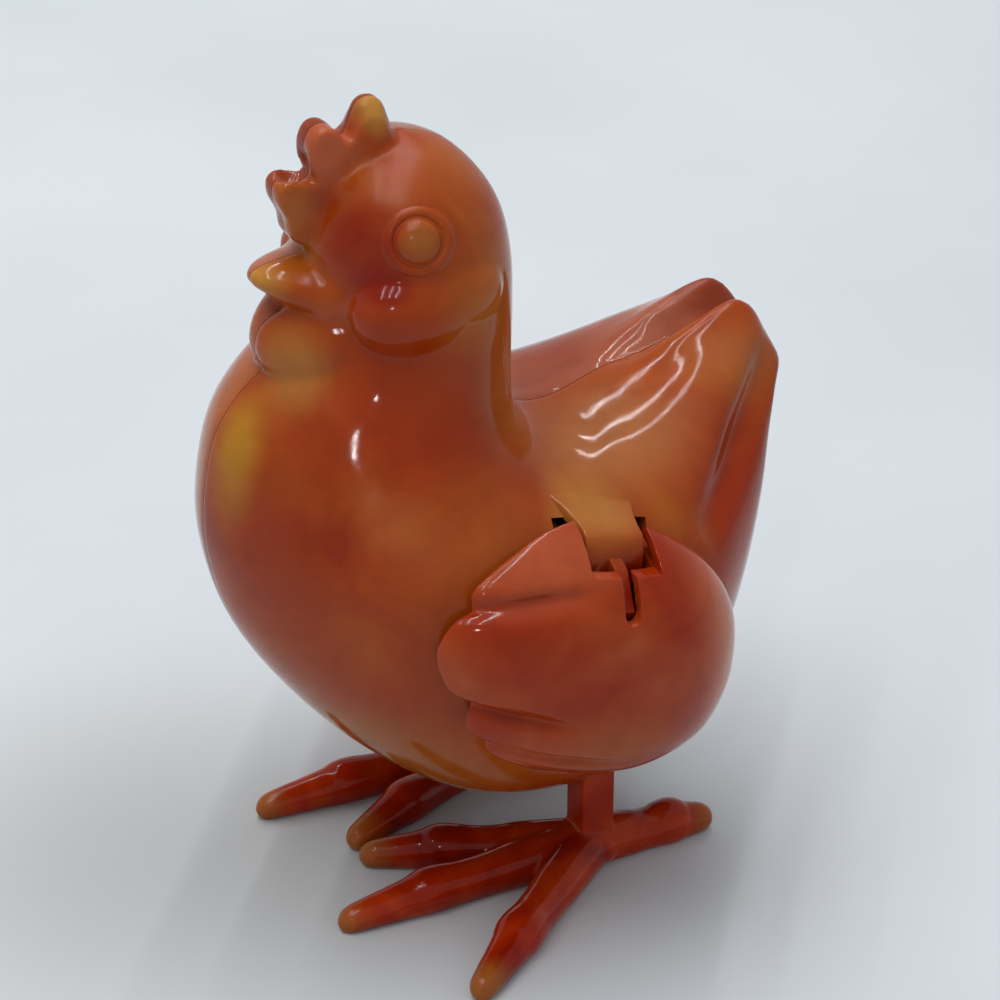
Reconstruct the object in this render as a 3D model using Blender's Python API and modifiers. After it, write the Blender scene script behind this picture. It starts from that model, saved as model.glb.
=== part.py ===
"""Egg-laying hen toy: a hollow moulded plastic hen on two splayed feet.

The hen faces -Y, her left side is +X, and the ground is the plane Z = 0. Two body halves meet on
the plane X = 0. Pressing the body down on its legs lifts the leg bridge inside it, which swings
the egg gate from under the lowest egg. Sizes below are in millimetres. Everything is laid out
from the middle of the line between the shanks, and moved at the end so that the origin lies
under the middle of the whole toy.
"""

import math

import bmesh
import bpy
import numpy as np
from mathutils import Matrix, Vector
from mathutils.bvhtree import BVHTree

MM = 0.001

# Walls, running gaps, and how far forms reach into or past each other where they are joined or cut
WALL = 1.4
GAP = 0.3
SEAM_GAP = 0.3
PIN_CLEAR = 0.2
OVERLAP = 1.0
CUT_PAST = 2.0
WELD_REACH = 0.01
FAR = 120.0

# From the middle of the line between the shanks to the middle of the toy's length
ORIGIN_AHEAD = 7.2

# Body form: stations from the crown down the neck and back to the tail tip. Each is a half
# section that starts on the front or belly seam and ends on the nape or back seam: seam points
# (y, z), half width, how far along the section the body is widest, depth of the valley between
# the tail lobes, and how full the section is below and above its widest place.
STATIONS = [
    ((-17.7, 91.3), (-17.7, 91.3), 0.0, 0.50, 0.0, 2.00, 2.0),
    ((-22.3, 89.8), (-12.8, 89.4), 6.0, 0.50, 0.0, 2.00, 2.0),
    ((-26.2, 87.0), (-9.4, 86.1), 9.8, 0.50, 0.0, 2.00, 2.0),
    ((-28.6, 82.6), (-7.2, 82.2), 12.0, 0.50, 0.0, 2.00, 2.0),
    ((-29.3, 77.5), (-6.2, 77.3), 13.0, 0.50, 0.0, 2.00, 2.0),
    ((-29.0, 72.5), (-6.1, 71.5), 13.2, 0.50, 0.0, 2.00, 2.0),
    ((-31.5, 68.5), (-6.2, 66.0), 13.6, 0.50, 0.0, 2.00, 2.0),
    ((-36.3, 64.8), (-6.3, 61.6), 15.0, 0.52, 0.0, 1.90, 2.0),
    ((-39.8, 60.0), (-6.0, 58.4), 17.4, 0.52, 0.0, 1.75, 2.0),
    ((-41.4, 53.0), (-4.8, 56.5), 20.6, 0.50, 0.0, 1.65, 2.0),
    ((-41.4, 46.0), (-2.2, 55.7), 23.8, 0.46, 0.0, 1.62, 2.0),
    ((-39.2, 37.5), (0.6, 55.9), 25.9, 0.43, 0.0, 1.65, 2.0),
    ((-34.4, 28.8), (3.2, 56.7), 27.0, 0.40, 0.0, 1.75, 2.0),
    ((-27.0, 20.0), (6.0, 57.7), 27.2, 0.40, 0.0, 1.95, 2.0),
    ((-17.5, 13.0), (8.9, 58.9), 26.6, 0.42, 1.0, 2.10, 2.0),
    ((-6.0, 9.6), (11.8, 60.2), 24.8, 0.45, 2.0, 2.10, 2.0),
    ((5.0, 9.8), (14.6, 61.5), 21.8, 0.50, 2.5, 2.10, 2.0),
    ((14.0, 13.8), (17.3, 62.7), 17.8, 0.55, 3.0, 1.80, 2.0),
    ((20.3, 21.5), (19.8, 63.7), 14.0, 0.60, 3.0, 1.45, 2.0),
    ((23.2, 32.0), (22.0, 64.1), 11.0, 0.62, 3.0, 1.20, 2.0),
    ((24.9, 43.0), (23.8, 63.3), 9.2, 0.62, 3.0, 1.15, 2.0),
    ((26.2, 51.5), (25.2, 61.4), 7.6, 0.58, 2.5, 1.20, 2.0),
    ((27.0, 55.5), (26.4, 58.9), 5.0, 0.50, 2.0, 1.40, 2.0),
    ((27.2, 57.2), (27.2, 57.2), 0.0, 0.50, 0.0, 2.00, 2.0),
]
OUTSIDE_ROWS = 2
OUTSIDE_STEPS = 17
INSIDE_ROWS = 1
INSIDE_STEPS = 13
TIP_ROWS = 2
VALLEY_HALF_WIDTH = 3.9

# Fold down each flank of the tail: a groove behind the line between two points (y, z)
FOLD_TOP = (23.5, 62.0)
FOLD_FOOT = (8.5, 49.2)
FOLD_SETBACK = 2.6
FOLD_DEPTH = 2.2
FOLD_HALF_WIDTH = 2.2

# Head details, left side; sizes are half lengths along X, Y and Z
CHEEK_AT = (9.2, -19.6, 75.2)
CHEEK_SIZE = (4.9, 8.0, 5.2)
EYE_AT = (-20.6, 83.4)
EYE_RING_RADIUS = 3.3
EYE_RING_ROUND = 0.6
EYE_RADIUS = 2.6
EYE_RISE = 0.9
EYE_NORMAL = (1.0, -0.12, 0.32)
BEAK_ROOT = (0.0, -23.0, 75.4)
BEAK_TIP = (0.0, -35.2, 78.6)
BEAK_HALF_WIDTH = 9.0
BEAK_HALF_HEIGHT = 4.6
BEAK_SHARES = (0.0, 0.35, 0.65, 0.85, 0.96, 1.0)
BEAK_WIDTHS = (1.0, 0.76, 0.54, 0.36, 0.22, 0.10)
WATTLE_AT = (3.5, -31.2, 70.6)
WATTLE_SIZE = (2.7, 5.9, 4.3)
WATTLE_TOE_IN = 26.0
COMB_THICKNESS = 5.0
COMB_ROUND = 1.6
COMB_OUTLINE = [
    (-15.5, 86.0), (-17.6, 91.5), (-18.8, 94.6), (-20.6, 95.8), (-22.6, 94.9), (-24.0, 92.0),
    (-26.0, 93.3), (-28.2, 93.2), (-29.0, 91.2), (-28.4, 88.6), (-30.6, 88.9), (-32.4, 87.6),
    (-32.0, 85.4), (-29.8, 82.4), (-25.0, 82.0), (-20.0, 84.0),
]

# Legs: a square shank in the body, four toes round it. A toe is its length and its angle out
# from straight ahead in degrees. Along it, at shares of its length, it has shares of its root's
# radius, with two knuckle steps and a narrow claw.
SHANK_X = 11.9
SHANK_WIDE = 4.2
SHANK_DEEP = 4.2
SHANK_TOP = 20.6
SHANK_ROUND = 0.5
ANKLE_Z = 2.4
ANKLE_SIZE = (3.6, 3.6, 2.8)
TOE_ROOT_RADIUS = 3.0
TOE_SUNK = 0.72
TOE_SHARES = (0.00, 0.30, 0.36, 0.58, 0.66, 0.73, 0.93, 0.98, 1.00)
TOE_RADII = (1.00, 0.94, 0.84, 0.84, 0.92, 0.72, 0.56, 0.42, 0.20)
LEFT_TOES = [(30.5, 39.0), (32.3, 1.0), (27.0, -23.0), (16.2, 180.0)]
RIGHT_TOES = [(23.5, 52.0), (32.3, 1.0), (27.0, -23.0), (16.2, 180.0)]
TOE_SIDES_RESOLUTION = 2

# Press mechanism: the bridge joins the shanks inside the body and rests on the guide sleeves
PRESS_TRAVEL = 4.0
SLEEVE_FOOT = 2.0
SLEEVE_TOP = 17.5
SLEEVE_WALL = 1.5
SHANK_HOLE_PAST = 6.0
BRIDGE_THICK = 2.5
BAR_FRONT = -7.4
BAR_REAR = -0.4
SOCKET_WALL = 1.0
LEG_PIN_RADIUS = 0.6
LIFTER_WIDE = 1.6
LIFTER_DEEP = 1.4
LIFTER_SETBACK = 1.0
SPRING_Y = -4.4
SPRING_RADIUS = 2.8
SPRING_WIRE = 0.35
SPRING_TURNS = 5
SPRING_STEPS_PER_TURN = 10
PEG_RADIUS = 1.9
PEG_HEIGHT = 2.3
PEG_CLEAR = 1.5
SPRING_TOP = SLEEVE_TOP + GAP + BRIDGE_THICK + 2 * PEG_HEIGHT + PRESS_TRAVEL + PEG_CLEAR
BEAM_THICK = 2.2
BEAM_DEEP = 5.0

# Egg hopper: a shallow funnel across the body that leads to a tube over the vent
CHUTE_Y = 12.0
CHUTE_RADIUS = 4.7
CHUTE_WALL = 1.2
CHUTE_FOOT = 22.6
FUNNEL_OVER_BEAM = 0.6
FUNNEL_Z = SPRING_TOP + BEAM_THICK + FUNNEL_OVER_BEAM
FUNNEL_SLOPE = 0.12
FUNNEL_STEPS = 32
VENT_RADIUS = 5.2

# Egg gate: two cheeks and a curved shelf, hung on a pin in front of the chute
GATE_Y = 5.0
GATE_Z = 25.2
GATE_PIN_RADIUS = 0.9
GATE_PIN_PROUD = 0.5
GATE_CHEEK_X = 6.8
GATE_CHEEK_THICK = 1.2
GATE_SHELF_RADIUS = 8.2
GATE_SHELF_THICK = 1.2
GATE_SHELF_REAR = -28.0
GATE_SHELF_FRONT = -75.0
GATE_ARM = 7.1
GATE_ARM_HALF = 0.8
GATE_HUB = 2.1
GATE_CHEEK_REAR_TURNS = (120.0, 30.0)
GATE_CHEEK_FRONT_TURNS = (-130.0, -160.0)
PIVOT_EAR_X = 4.9
PIVOT_EAR_THICK = 1.2
EAR_ROOT = 2.2

# Eggs
EGG_RADIUS = 4.0
EGG_HALF_LENGTH = 4.4
EGG_TAPER = 0.10
EGG_CLEAR = 0.3

# Wings: outline points (y, z) round the dome, from its top corner forwards
WING_OUTLINE = [
    (-4.4, 51.0), (-14.7, 52.0), (-20.8, 49.9), (-22.6, 47.6), (-24.9, 43.6), (-23.6, 38.6),
    (-22.2, 36.4), (-21.4, 32.8), (-17.6, 28.2), (-10.7, 24.4), (-1.5, 21.4), (6.8, 22.8),
    (11.2, 29.0), (11.6, 36.5), (8.4, 43.8), (2.4, 49.4),
]
WING_MIDDLE = (-6.5, 36.5)
WING_TOP_X = 33.0
WING_RIM_X = 22.4
WING_WALL = 1.3
WING_CLEAR = 0.7
WING_FULLNESS = 2.6
WING_EDGE = 0.75
WING_RINGS = 8
WING_SPOKES = 38
FEATHER_LINES = [((-23.5, 48.0), (-9.5, 47.6)), ((-23.5, 37.9), (-12.5, 33.4))]
FEATHER_DEPTH = 1.2
FEATHER_HALF_WIDTH = 1.0

# Wing hinge: pin, ears on the wing, and the fixed strap that bends down over it. All of it is
# laid out level and then turned with the pin, whose front end stands higher by HINGE_TILT.
HINGE_X = 18.6
HINGE_Y = -4.5
HINGE_Z = 48.4
HINGE_TILT = 13.0
HINGE_PIN_RADIUS = 0.8
HINGE_PIN_PROUD = 0.2
HINGE_HUB = 2.3
STRAP_HALF_WIDTH = 3.6
STRAP_ROOT_HALF_WIDTH = 4.4
STRAP_ROOT_X = 17.4
STRAP_BEND_X = 23.4
STRAP_OUTSIDE = [(14.8, 53.3), (17.3, 52.9), (21.0, 52.0), (23.5, 51.3), (24.4, 50.6), (25.1, 49.0)]
STRAP_INSIDE = [(23.8, 49.0), (23.3, 49.8), (22.8, 50.2), (20.6, 50.7), (17.2, 51.6), (14.6, 52.0)]
WEB_THICK = 1.3
WEB_REACH = 6.1
WEB_TOP = [(20.8, 51.3), (23.1, 50.75), (23.9, 50.2), (24.4, 49.2)]
WEB_FRONT_TURNS = (-4.0, -26.0)
WEB_HUB_TURNS = (-60.0, -225.0)
NOTCH_HALF_WIDTH = 4.3
NOTCH_FOOT = 48.6
NOTCH_RISE = 12.0
SLIT_WIDE = 1.8
SLIT_FOOT = 44.3
EAR_THICK = 1.4
EAR_CLEAR = 0.25
EAR_DROP = 0.2
EAR_HUB_TURNS = (70.0, 270.0)
WINDOW_HALF_WIDTH = 6.6
WINDOW_INWARD = 7.0
WINDOW_TOP = 51.8
WINDOW_FOOT = 36.8

COLOURS = {
    "orange_body": (0.62, 0.17, 0.03),
    "pink_body": (0.60, 0.14, 0.06),
    "wing_pink": (0.60, 0.10, 0.03),
    "leg_red": (0.42, 0.05, 0.01),
    "inner_plastic": (0.55, 0.30, 0.10),
    "egg_white": (0.85, 0.82, 0.74),
    "steel": (0.60, 0.60, 0.60),
}


def plastic(name, metallic=0.0, roughness=0.2):
    material = bpy.data.materials.get(name)
    if material is None:
        material = bpy.data.materials.new(name)
        material.use_nodes = True
        shader = material.node_tree.nodes["Principled BSDF"]
        shader.inputs["Base Color"].default_value = (*COLOURS[name], 1.0)
        shader.inputs["Metallic"].default_value = metallic
        shader.inputs["Roughness"].default_value = roughness
    return material


def clear_scene():
    for item in list(bpy.data.objects):
        bpy.data.objects.remove(item, do_unlink=True)


def new_collection(name, helper=False):
    collection = bpy.data.collections.new(name)
    collection.hide_render = helper
    bpy.context.scene.collection.children.link(collection)
    return collection


def add_part(item, material):
    """Puts an object among the parts and gives it its one material."""
    item.data.materials.clear()
    item.data.materials.append(material)
    item.data.shade_smooth()
    item.data.set_sharp_from_angle(angle=math.radians(35))
    PARTS.objects.link(item)
    return item


def add_tool(item):
    """Puts an object among the helpers, which are drawn as wires and never rendered."""
    item.hide_render = True
    item.display_type = "WIRE"
    TOOLS.objects.link(item)
    return item


def mesh_object(name, bm):
    bmesh.ops.scale(bm, vec=(MM, MM, MM), verts=bm.verts)
    mesh = bpy.data.meshes.new(name)
    bm.to_mesh(mesh)
    bm.free()
    return bpy.data.objects.new(name, mesh)


def settled(item, name=None):
    """A copy of the object with its modifiers applied and its place kept in its points."""
    bpy.context.view_layer.update()
    graph = bpy.context.evaluated_depsgraph_get()
    mesh = bpy.data.meshes.new_from_object(item.evaluated_get(graph))
    mesh.transform(item.matrix_world)
    return bpy.data.objects.new(name or item.name, mesh)


def discard(item):
    bpy.data.objects.remove(item, do_unlink=True)


def mirrored(item, name):
    """The same shape on the hen's other side, with its faces still pointing out."""
    copy = settled(item, name)
    copy.data.transform(Matrix.Scale(-1.0, 4, (1, 0, 0)))
    copy.data.flip_normals()
    return copy


def boolean(item, tool, operation):
    modifier = item.modifiers.new(tool.name, "BOOLEAN")
    modifier.operation = operation
    modifier.solver = "EXACT"
    modifier.object = tool


def weld(item):
    """Splits the faces into sound triangles, and joins the points that Booleans leave almost on
    top of each other."""
    split = item.modifiers.new("split", "TRIANGULATE")
    split.ngon_method = "BEAUTY"
    split.quad_method = "BEAUTY"
    modifier = item.modifiers.new("weld", "WELD")
    modifier.merge_threshold = WELD_REACH * MM


def through(rows, count):
    """A smooth curve through rows of numbers, read at evenly spaced places along it."""
    rows = np.array(rows, float)
    ends = np.vstack([2 * rows[0] - rows[1], rows, 2 * rows[-1] - rows[-2]])
    found = []
    for place in np.linspace(0, len(rows) - 1, count):
        first = min(int(place), len(rows) - 2)
        found.append(between(*ends[first : first + 4], place - first))
    return np.array(found)


def round_through(rows, count):
    """A smooth closed curve through rows of numbers."""
    rows = np.array(rows, float)
    found = []
    for place in np.linspace(0, len(rows), count, endpoint=False):
        first = int(place)
        near = [rows[(first + step) % len(rows)] for step in (-1, 0, 1, 2)]
        found.append(between(*near, place - first))
    return np.array(found)


def between(before, start, end, after, t):
    """Catmull-Rom interpolation from start to end."""
    bend = 2 * before - 5 * start + 4 * end - after
    twist = 3 * start - before - 3 * end + after
    return 0.5 * (2 * start + (end - before) * t + bend * t**2 + twist * t**3)


def tail_fold(y, z):
    """How far the flank is drawn in at (y, z) by the groove beside the tail's side lobe."""
    run = np.subtract(FOLD_FOOT, FOLD_TOP)
    length = math.hypot(*run)
    along = ((y - FOLD_TOP[0]) * run[0] + (z - FOLD_TOP[1]) * run[1]) / length
    across = ((z - FOLD_TOP[1]) * run[0] - (y - FOLD_TOP[0]) * run[1]) / length
    fade = max(0.0, math.sin(math.pi * min(max((along + 2) / (length + 4), 0.0), 1.0))) ** 0.5
    return FOLD_DEPTH * fade * math.exp(-(((across - FOLD_SETBACK) / FOLD_HALF_WIDTH) ** 2))


def half_section(station, count):
    """Points (x, y, z) of one half section, from the front seam round the left side to the back."""
    front, back = np.array(station[0:2]), np.array(station[2:4])
    half_width, share, valley, lower, upper = station[4:9]
    half_width = max(half_width, 0.0)
    middle = front + share * (back - front)
    length = max(np.linalg.norm(back - front), 1e-6)
    points = []
    for turn in np.linspace(0.0, math.pi, count):
        full = lower if turn < math.pi / 2 else upper
        reach = abs(math.cos(turn)) ** (2 / full)
        x = half_width * max(math.sin(turn), 0.0) ** (2 / full)
        end = front if turn < math.pi / 2 else back
        y, z = middle + reach * (end - middle)
        if turn > math.pi / 2:
            sunk = valley * reach * math.exp(-((x / VALLEY_HALF_WIDTH) ** 2))
            y, z = np.array([y, z]) - sunk * (back - front) / length
        x = max(x - tail_fold(y, z) * min(x / 3.0, 1.0), 0.0)
        points.append((x, y, z))
    return points


def body_rows(rows, steps):
    """Half sections from crown to tail tip: rows for each station, and points for each row."""
    flat = [(*front, *back, *rest) for front, back, *rest in STATIONS]
    count = rows * (len(flat) - 1) + 1
    return [half_section(station, steps) for station in through(flat, count)]


def flipped(points):
    return [(-x, y, z) for x, y, z in points]


def loft(bm, rows, closed):
    """Joins rows of points by quads. A closed row runs round a ring."""
    grid = [[bm.verts.new(point) for point in row] for row in rows]
    width = len(rows[0])
    for near, far in zip(grid, grid[1:]):
        for place in range(width if closed else width - 1):
            step = (place + 1) % width
            bm.faces.new((near[place], far[place], far[step], near[step]))


def body_form(name, rows, inset=0.0):
    """The whole body as one closed form, drawn in by inset. Drawn in, it stops short of the crown
    and of the tail tip, where the two sides meet in an edge."""
    bm = bmesh.new()
    used = rows[1:-TIP_ROWS] if inset else rows
    rings = [[*row, *reversed(flipped(row)[1:-1])] for row in used]
    loft(bm, rings, closed=True)
    bmesh.ops.remove_doubles(bm, verts=bm.verts, dist=0.001)
    bmesh.ops.holes_fill(bm, edges=bm.edges)
    bmesh.ops.recalc_face_normals(bm, faces=bm.faces)
    if bm.calc_volume(signed=True) < 0:
        bmesh.ops.reverse_faces(bm, faces=bm.faces)
    bm.normal_update()
    moved = [vert.co - vert.normal * inset for vert in bm.verts]
    for vert, place in zip(bm.verts, moved):
        vert.co = place
    bmesh.ops.triangulate(bm, faces=bm.faces)
    return mesh_object(name, bm)


def side_of(item, y, z):
    """Where the left side of a form lies at (y, z), as x in millimetres, or None beside it."""
    tree = BVHTree.FromObject(item, bpy.context.evaluated_depsgraph_get())
    found = tree.ray_cast(Vector((0.1, y * MM, z * MM)), Vector((-1, 0, 0)))[0]
    return None if found is None or found.x < 0 else found.x / MM


def box(name, low, high, rounding=0.0):
    bm = bmesh.new()
    bmesh.ops.create_cube(bm, size=1.0)
    size = np.subtract(high, low)
    middle = np.add(high, low) / 2
    bmesh.ops.scale(bm, vec=size, verts=bm.verts)
    bmesh.ops.translate(bm, vec=middle, verts=bm.verts)
    item = mesh_object(name, bm)
    if rounding:
        modifier = item.modifiers.new("edges", "BEVEL")
        modifier.width = rounding * MM
        modifier.segments = 2
    return item


def rod(name, radius, start, end, sides=16):
    """A straight round rod or round cutter between two points."""
    bm = bmesh.new()
    run = Vector(end) - Vector(start)
    turn = Vector((0, 0, 1)).rotation_difference(run).to_matrix().to_4x4()
    place = Matrix.Translation((Vector(start) + Vector(end)) / 2) @ turn
    bmesh.ops.create_cone(
        bm, cap_ends=True, segments=sides, radius1=radius, radius2=radius,
        depth=run.length, matrix=place,
    )
    return mesh_object(name, bm)


def ball(name, middle, size, across=14, down=9, turn_z=0.0):
    """A sphere drawn out to half lengths along X, Y and Z."""
    bm = bmesh.new()
    bmesh.ops.create_uvsphere(bm, u_segments=across, v_segments=down, radius=1.0)
    bmesh.ops.scale(bm, vec=size, verts=bm.verts)
    turn = Matrix.Rotation(math.radians(turn_z), 4, "Z")
    bmesh.ops.transform(bm, matrix=Matrix.Translation(middle) @ turn, verts=bm.verts)
    return mesh_object(name, bm)


def curve_mesh(name, data, place):
    """The mesh of a curve with its caps welded, in place of the curve."""
    curve = bpy.data.objects.new(name, data)
    curve.matrix_world = place
    TOOLS.objects.link(curve)
    item = settled(curve)
    bm = bmesh.new()
    bm.from_mesh(item.data)
    bmesh.ops.remove_doubles(bm, verts=bm.verts, dist=1e-6)
    bmesh.ops.recalc_face_normals(bm, faces=bm.faces)
    bmesh.ops.triangulate(bm, faces=bm.faces)
    bm.to_mesh(item.data)
    bm.free()
    discard(curve)
    item.name = name
    return item


FLAT_IN_YZ = Matrix(((0, 0, 1, 0), (1, 0, 0, 0), (0, 1, 0, 0), (0, 0, 0, 1)))
FLAT_IN_XZ = Matrix(((1, 0, 0, 0), (0, 0, -1, 0), (0, 1, 0, 0), (0, 0, 0, 1)))


def plate(name, outline, thickness, plane, offset=0.0, rounding=0.0):
    """A flat outline with thickness. offset is its place along the plane's normal."""
    data = bpy.data.curves.new(name, "CURVE")
    data.dimensions = "2D"
    data.fill_mode = "BOTH"
    data.extrude = (thickness / 2 - rounding) * MM
    data.bevel_depth = rounding * MM
    data.bevel_resolution = 1
    data.offset = -rounding * MM
    spline = data.splines.new("POLY")
    spline.points.add(len(outline) - 1)
    for point, (a, b) in zip(spline.points, outline):
        point.co = (a * MM, b * MM, 0, 1)
    spline.use_cyclic_u = True
    normal = (plane @ Vector((0, 0, 1, 0))).to_3d()
    shift = Matrix.Translation(Vector(np.abs(normal)) * offset * MM)
    return curve_mesh(name, data, shift @ plane)


def arc(middle, radius, start, end, count=8):
    """Points on a circle between two angles in degrees."""
    turns = np.radians(np.linspace(start, end, count))
    return [(middle[0] + radius * math.cos(t), middle[1] + radius * math.sin(t)) for t in turns]


def tube(name, points, radii, resolution, thickness):
    """A solid rod along points, as thick as thickness times each point's own share."""
    data = bpy.data.curves.new(name, "CURVE")
    data.dimensions = "3D"
    data.bevel_depth = thickness * MM
    data.bevel_resolution = resolution
    data.use_fill_caps = True
    spline = data.splines.new("POLY")
    spline.points.add(len(points) - 1)
    for knot, point, radius in zip(spline.points, points, radii):
        knot.co = (*(np.array(point) * MM), 1)
        knot.radius = radius
    return curve_mesh(name, data, Matrix.Identity(4))


def turned(name, profile, middle_y, steps):
    """A profile of (radius, z) turned round the vertical line X = 0, Y = middle_y."""
    bm = bmesh.new()
    knots = [bm.verts.new((radius, 0, z)) for radius, z in profile]
    for place, knot in enumerate(knots):
        bm.edges.new((knot, knots[(place + 1) % len(knots)]))
    item = mesh_object(name, bm)
    item.location = (0, middle_y * MM, 0)
    screw = item.modifiers.new("turn", "SCREW")
    screw.steps = steps
    screw.render_steps = steps
    screw.use_merge_vertices = True
    screw.merge_threshold = 0.000001
    return item


def comb():
    return plate("comb_form", COMB_OUTLINE, COMB_THICKNESS, FLAT_IN_YZ, rounding=COMB_ROUND)


def beak():
    """The beak: broad and flat at the face, blunt at its tip."""
    run = Vector(BEAK_TIP) - Vector(BEAK_ROOT)
    points = [(0, 0, run.length * share) for share in BEAK_SHARES]
    item = tube("beak_form", points, BEAK_WIDTHS, 2, BEAK_HALF_WIDTH)
    flat = Matrix.Diagonal((1.0, BEAK_HALF_HEIGHT / BEAK_HALF_WIDTH, 1.0, 1.0))
    turn = Vector((0, 0, 1)).rotation_difference(run).to_matrix().to_4x4()
    item.data.transform(Matrix.Translation(Vector(BEAK_ROOT) * MM) @ turn @ flat)
    return item


def eye_ring(x, normal):
    """A ring laid on the side of the head."""
    points = []
    lay = Vector((0, 0, 1)).rotation_difference(normal)
    for t in np.linspace(0, 2 * math.pi, 18, endpoint=False):
        flat = Vector((EYE_RING_RADIUS * math.cos(t), EYE_RING_RADIUS * math.sin(t), 0))
        points.append(tuple(Vector((x, *EYE_AT)) + lay @ flat))
    data = bpy.data.curves.new("eye_ring_form", "CURVE")
    data.dimensions = "3D"
    data.bevel_depth = EYE_RING_ROUND * MM
    data.bevel_resolution = 1
    spline = data.splines.new("POLY")
    spline.points.add(len(points) - 1)
    for knot, point in zip(spline.points, points):
        knot.co = (*(np.array(point) * MM), 1)
    spline.use_cyclic_u = True
    return curve_mesh("eye_ring_form", data, Matrix.Identity(4))


def eye(x, normal):
    item = ball("eye_form", (0, 0, 0), (EYE_RADIUS, EYE_RADIUS, EYE_RISE), 14, 7)
    item.matrix_world = Matrix.Translation(Vector((x, *EYE_AT)) * MM) @ (
        Vector((0, 0, 1)).rotation_difference(normal).to_matrix().to_4x4()
    )
    return item


def tilted(item):
    """Turns a form of the hinge with its pin, whose front end stands higher."""
    middle = Matrix.Translation((0, HINGE_Y * MM, HINGE_Z * MM))
    turn = Matrix.Rotation(-math.radians(HINGE_TILT), 4, "X")
    item.data.transform(middle @ turn @ middle.inverted())
    return item


def tilted_place(y, z):
    """Where a place (y, z) of the level hinge layout lies on the hen."""
    turn = math.radians(HINGE_TILT)
    ahead, rise = y - HINGE_Y, z - HINGE_Z
    new_y = HINGE_Y + ahead * math.cos(turn) + rise * math.sin(turn)
    return new_y, HINGE_Z - ahead * math.sin(turn) + rise * math.cos(turn)


def strap():
    """The strap over the hinge, wider at its root than at its end."""
    outline = STRAP_OUTSIDE + STRAP_INSIDE
    item = plate("hinge_lug", outline, 2 * STRAP_HALF_WIDTH, FLAT_IN_XZ, HINGE_Y)
    widen = STRAP_ROOT_HALF_WIDTH / STRAP_HALF_WIDTH - 1
    for vert in item.data.vertices:
        share = (STRAP_BEND_X - vert.co.x / MM) / (STRAP_BEND_X - STRAP_ROOT_X)
        wide = 1 + widen * min(max(share, 0.0), 1.0)
        vert.co.y = HINGE_Y * MM + (vert.co.y - HINGE_Y * MM) * wide
    return tilted(item)


def web_outline():
    """The rib under the strap, which holds the hinge pin and shows in the wing's slit."""
    hinge = (HINGE_X, HINGE_Z)
    front = arc(hinge, WEB_REACH, *WEB_FRONT_TURNS, 4)
    return WEB_TOP + front + arc(hinge, HINGE_HUB, *WEB_HUB_TURNS, 8)


def hinge_lug():
    """Strap and web as one lug, with the pin's hole."""
    lug = add_tool(strap())
    web = tilted(plate("lug_web", web_outline(), WEB_THICK, FLAT_IN_XZ, HINGE_Y))
    boolean(lug, add_tool(web), "UNION")
    boolean(lug, hinge_hole(), "DIFFERENCE")
    return lug


def hinge_hole():
    reach = WINDOW_HALF_WIDTH + CUT_PAST
    start = (HINGE_X, HINGE_Y - reach, HINGE_Z)
    end = (HINGE_X, HINGE_Y + reach, HINGE_Z)
    return add_tool(tilted(rod("hinge_hole", HINGE_PIN_RADIUS + GAP, start, end)))


def hinge_window():
    """Cutter for the opening behind the wing's top: ears pass through it, and eggs go in."""
    low = (HINGE_X - WINDOW_INWARD, HINGE_Y - WINDOW_HALF_WIDTH, WINDOW_FOOT)
    high = (WING_TOP_X, HINGE_Y + WINDOW_HALF_WIDTH, WINDOW_TOP)
    return add_tool(tilted(box("hinge_window", low, high)))


def sleeve(form):
    """Guide sleeve round the shank, trimmed to lie inside the body's wall."""
    half_x = SHANK_WIDE / 2 + GAP + SLEEVE_WALL
    half_y = SHANK_DEEP / 2 + GAP + SLEEVE_WALL
    low = (SHANK_X - half_x, -half_y, SLEEVE_FOOT)
    high = (SHANK_X + half_x, half_y, SLEEVE_TOP)
    item = add_tool(box("sleeve_form", low, high))
    boolean(item, form, "INTERSECT")
    return item


def shank_hole():
    half_x = SHANK_WIDE / 2 + GAP
    half_y = SHANK_DEEP / 2 + GAP
    low = (SHANK_X - half_x, -half_y, -CUT_PAST)
    high = (SHANK_X + half_x, half_y, SLEEVE_TOP + SHANK_HOLE_PAST)
    return add_tool(box("shank_hole", low, high))


def body_shells(wall_form):
    """Left and right body halves. The right one is the left one's mirror image."""
    outside = body_form("body_shell_left", body_rows(OUTSIDE_ROWS, OUTSIDE_STEPS))
    left = add_part(outside, plastic("orange_body"))
    eye_x = side_of(BODY, *EYE_AT)
    normal = Vector(EYE_NORMAL).normalized()
    forms = [
        ball("cheek_form", CHEEK_AT, CHEEK_SIZE),
        ball("wattle_form", WATTLE_AT, WATTLE_SIZE, 14, 9, turn_z=-WATTLE_TOE_IN),
        eye_ring(eye_x, normal),
        eye(eye_x, normal),
        beak(),
        comb(),
    ]
    for form in forms:
        boolean(left, add_tool(form), "UNION")
    boolean(left, HOLLOW, "DIFFERENCE")
    boolean(left, hinge_window(), "DIFFERENCE")
    boolean(left, hinge_lug(), "UNION")
    boolean(left, sleeve(wall_form), "UNION")
    boolean(left, shank_hole(), "DIFFERENCE")
    start, end = (0, CHUTE_Y, SLEEVE_FOOT), (0, CHUTE_Y, CHUTE_FOOT + OVERLAP)
    boolean(left, add_tool(rod("vent_hole", VENT_RADIUS, start, end, 24)), "DIFFERENCE")
    seam = box("seam_cut", (-FAR, -FAR, -FAR), (SEAM_GAP / 2, FAR, FAR))
    boolean(left, add_tool(seam), "DIFFERENCE")
    weld(left)
    right = mirrored(left, "body_shell_right")
    add_part(right, plastic("pink_body"))
    return [left, right]


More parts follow.
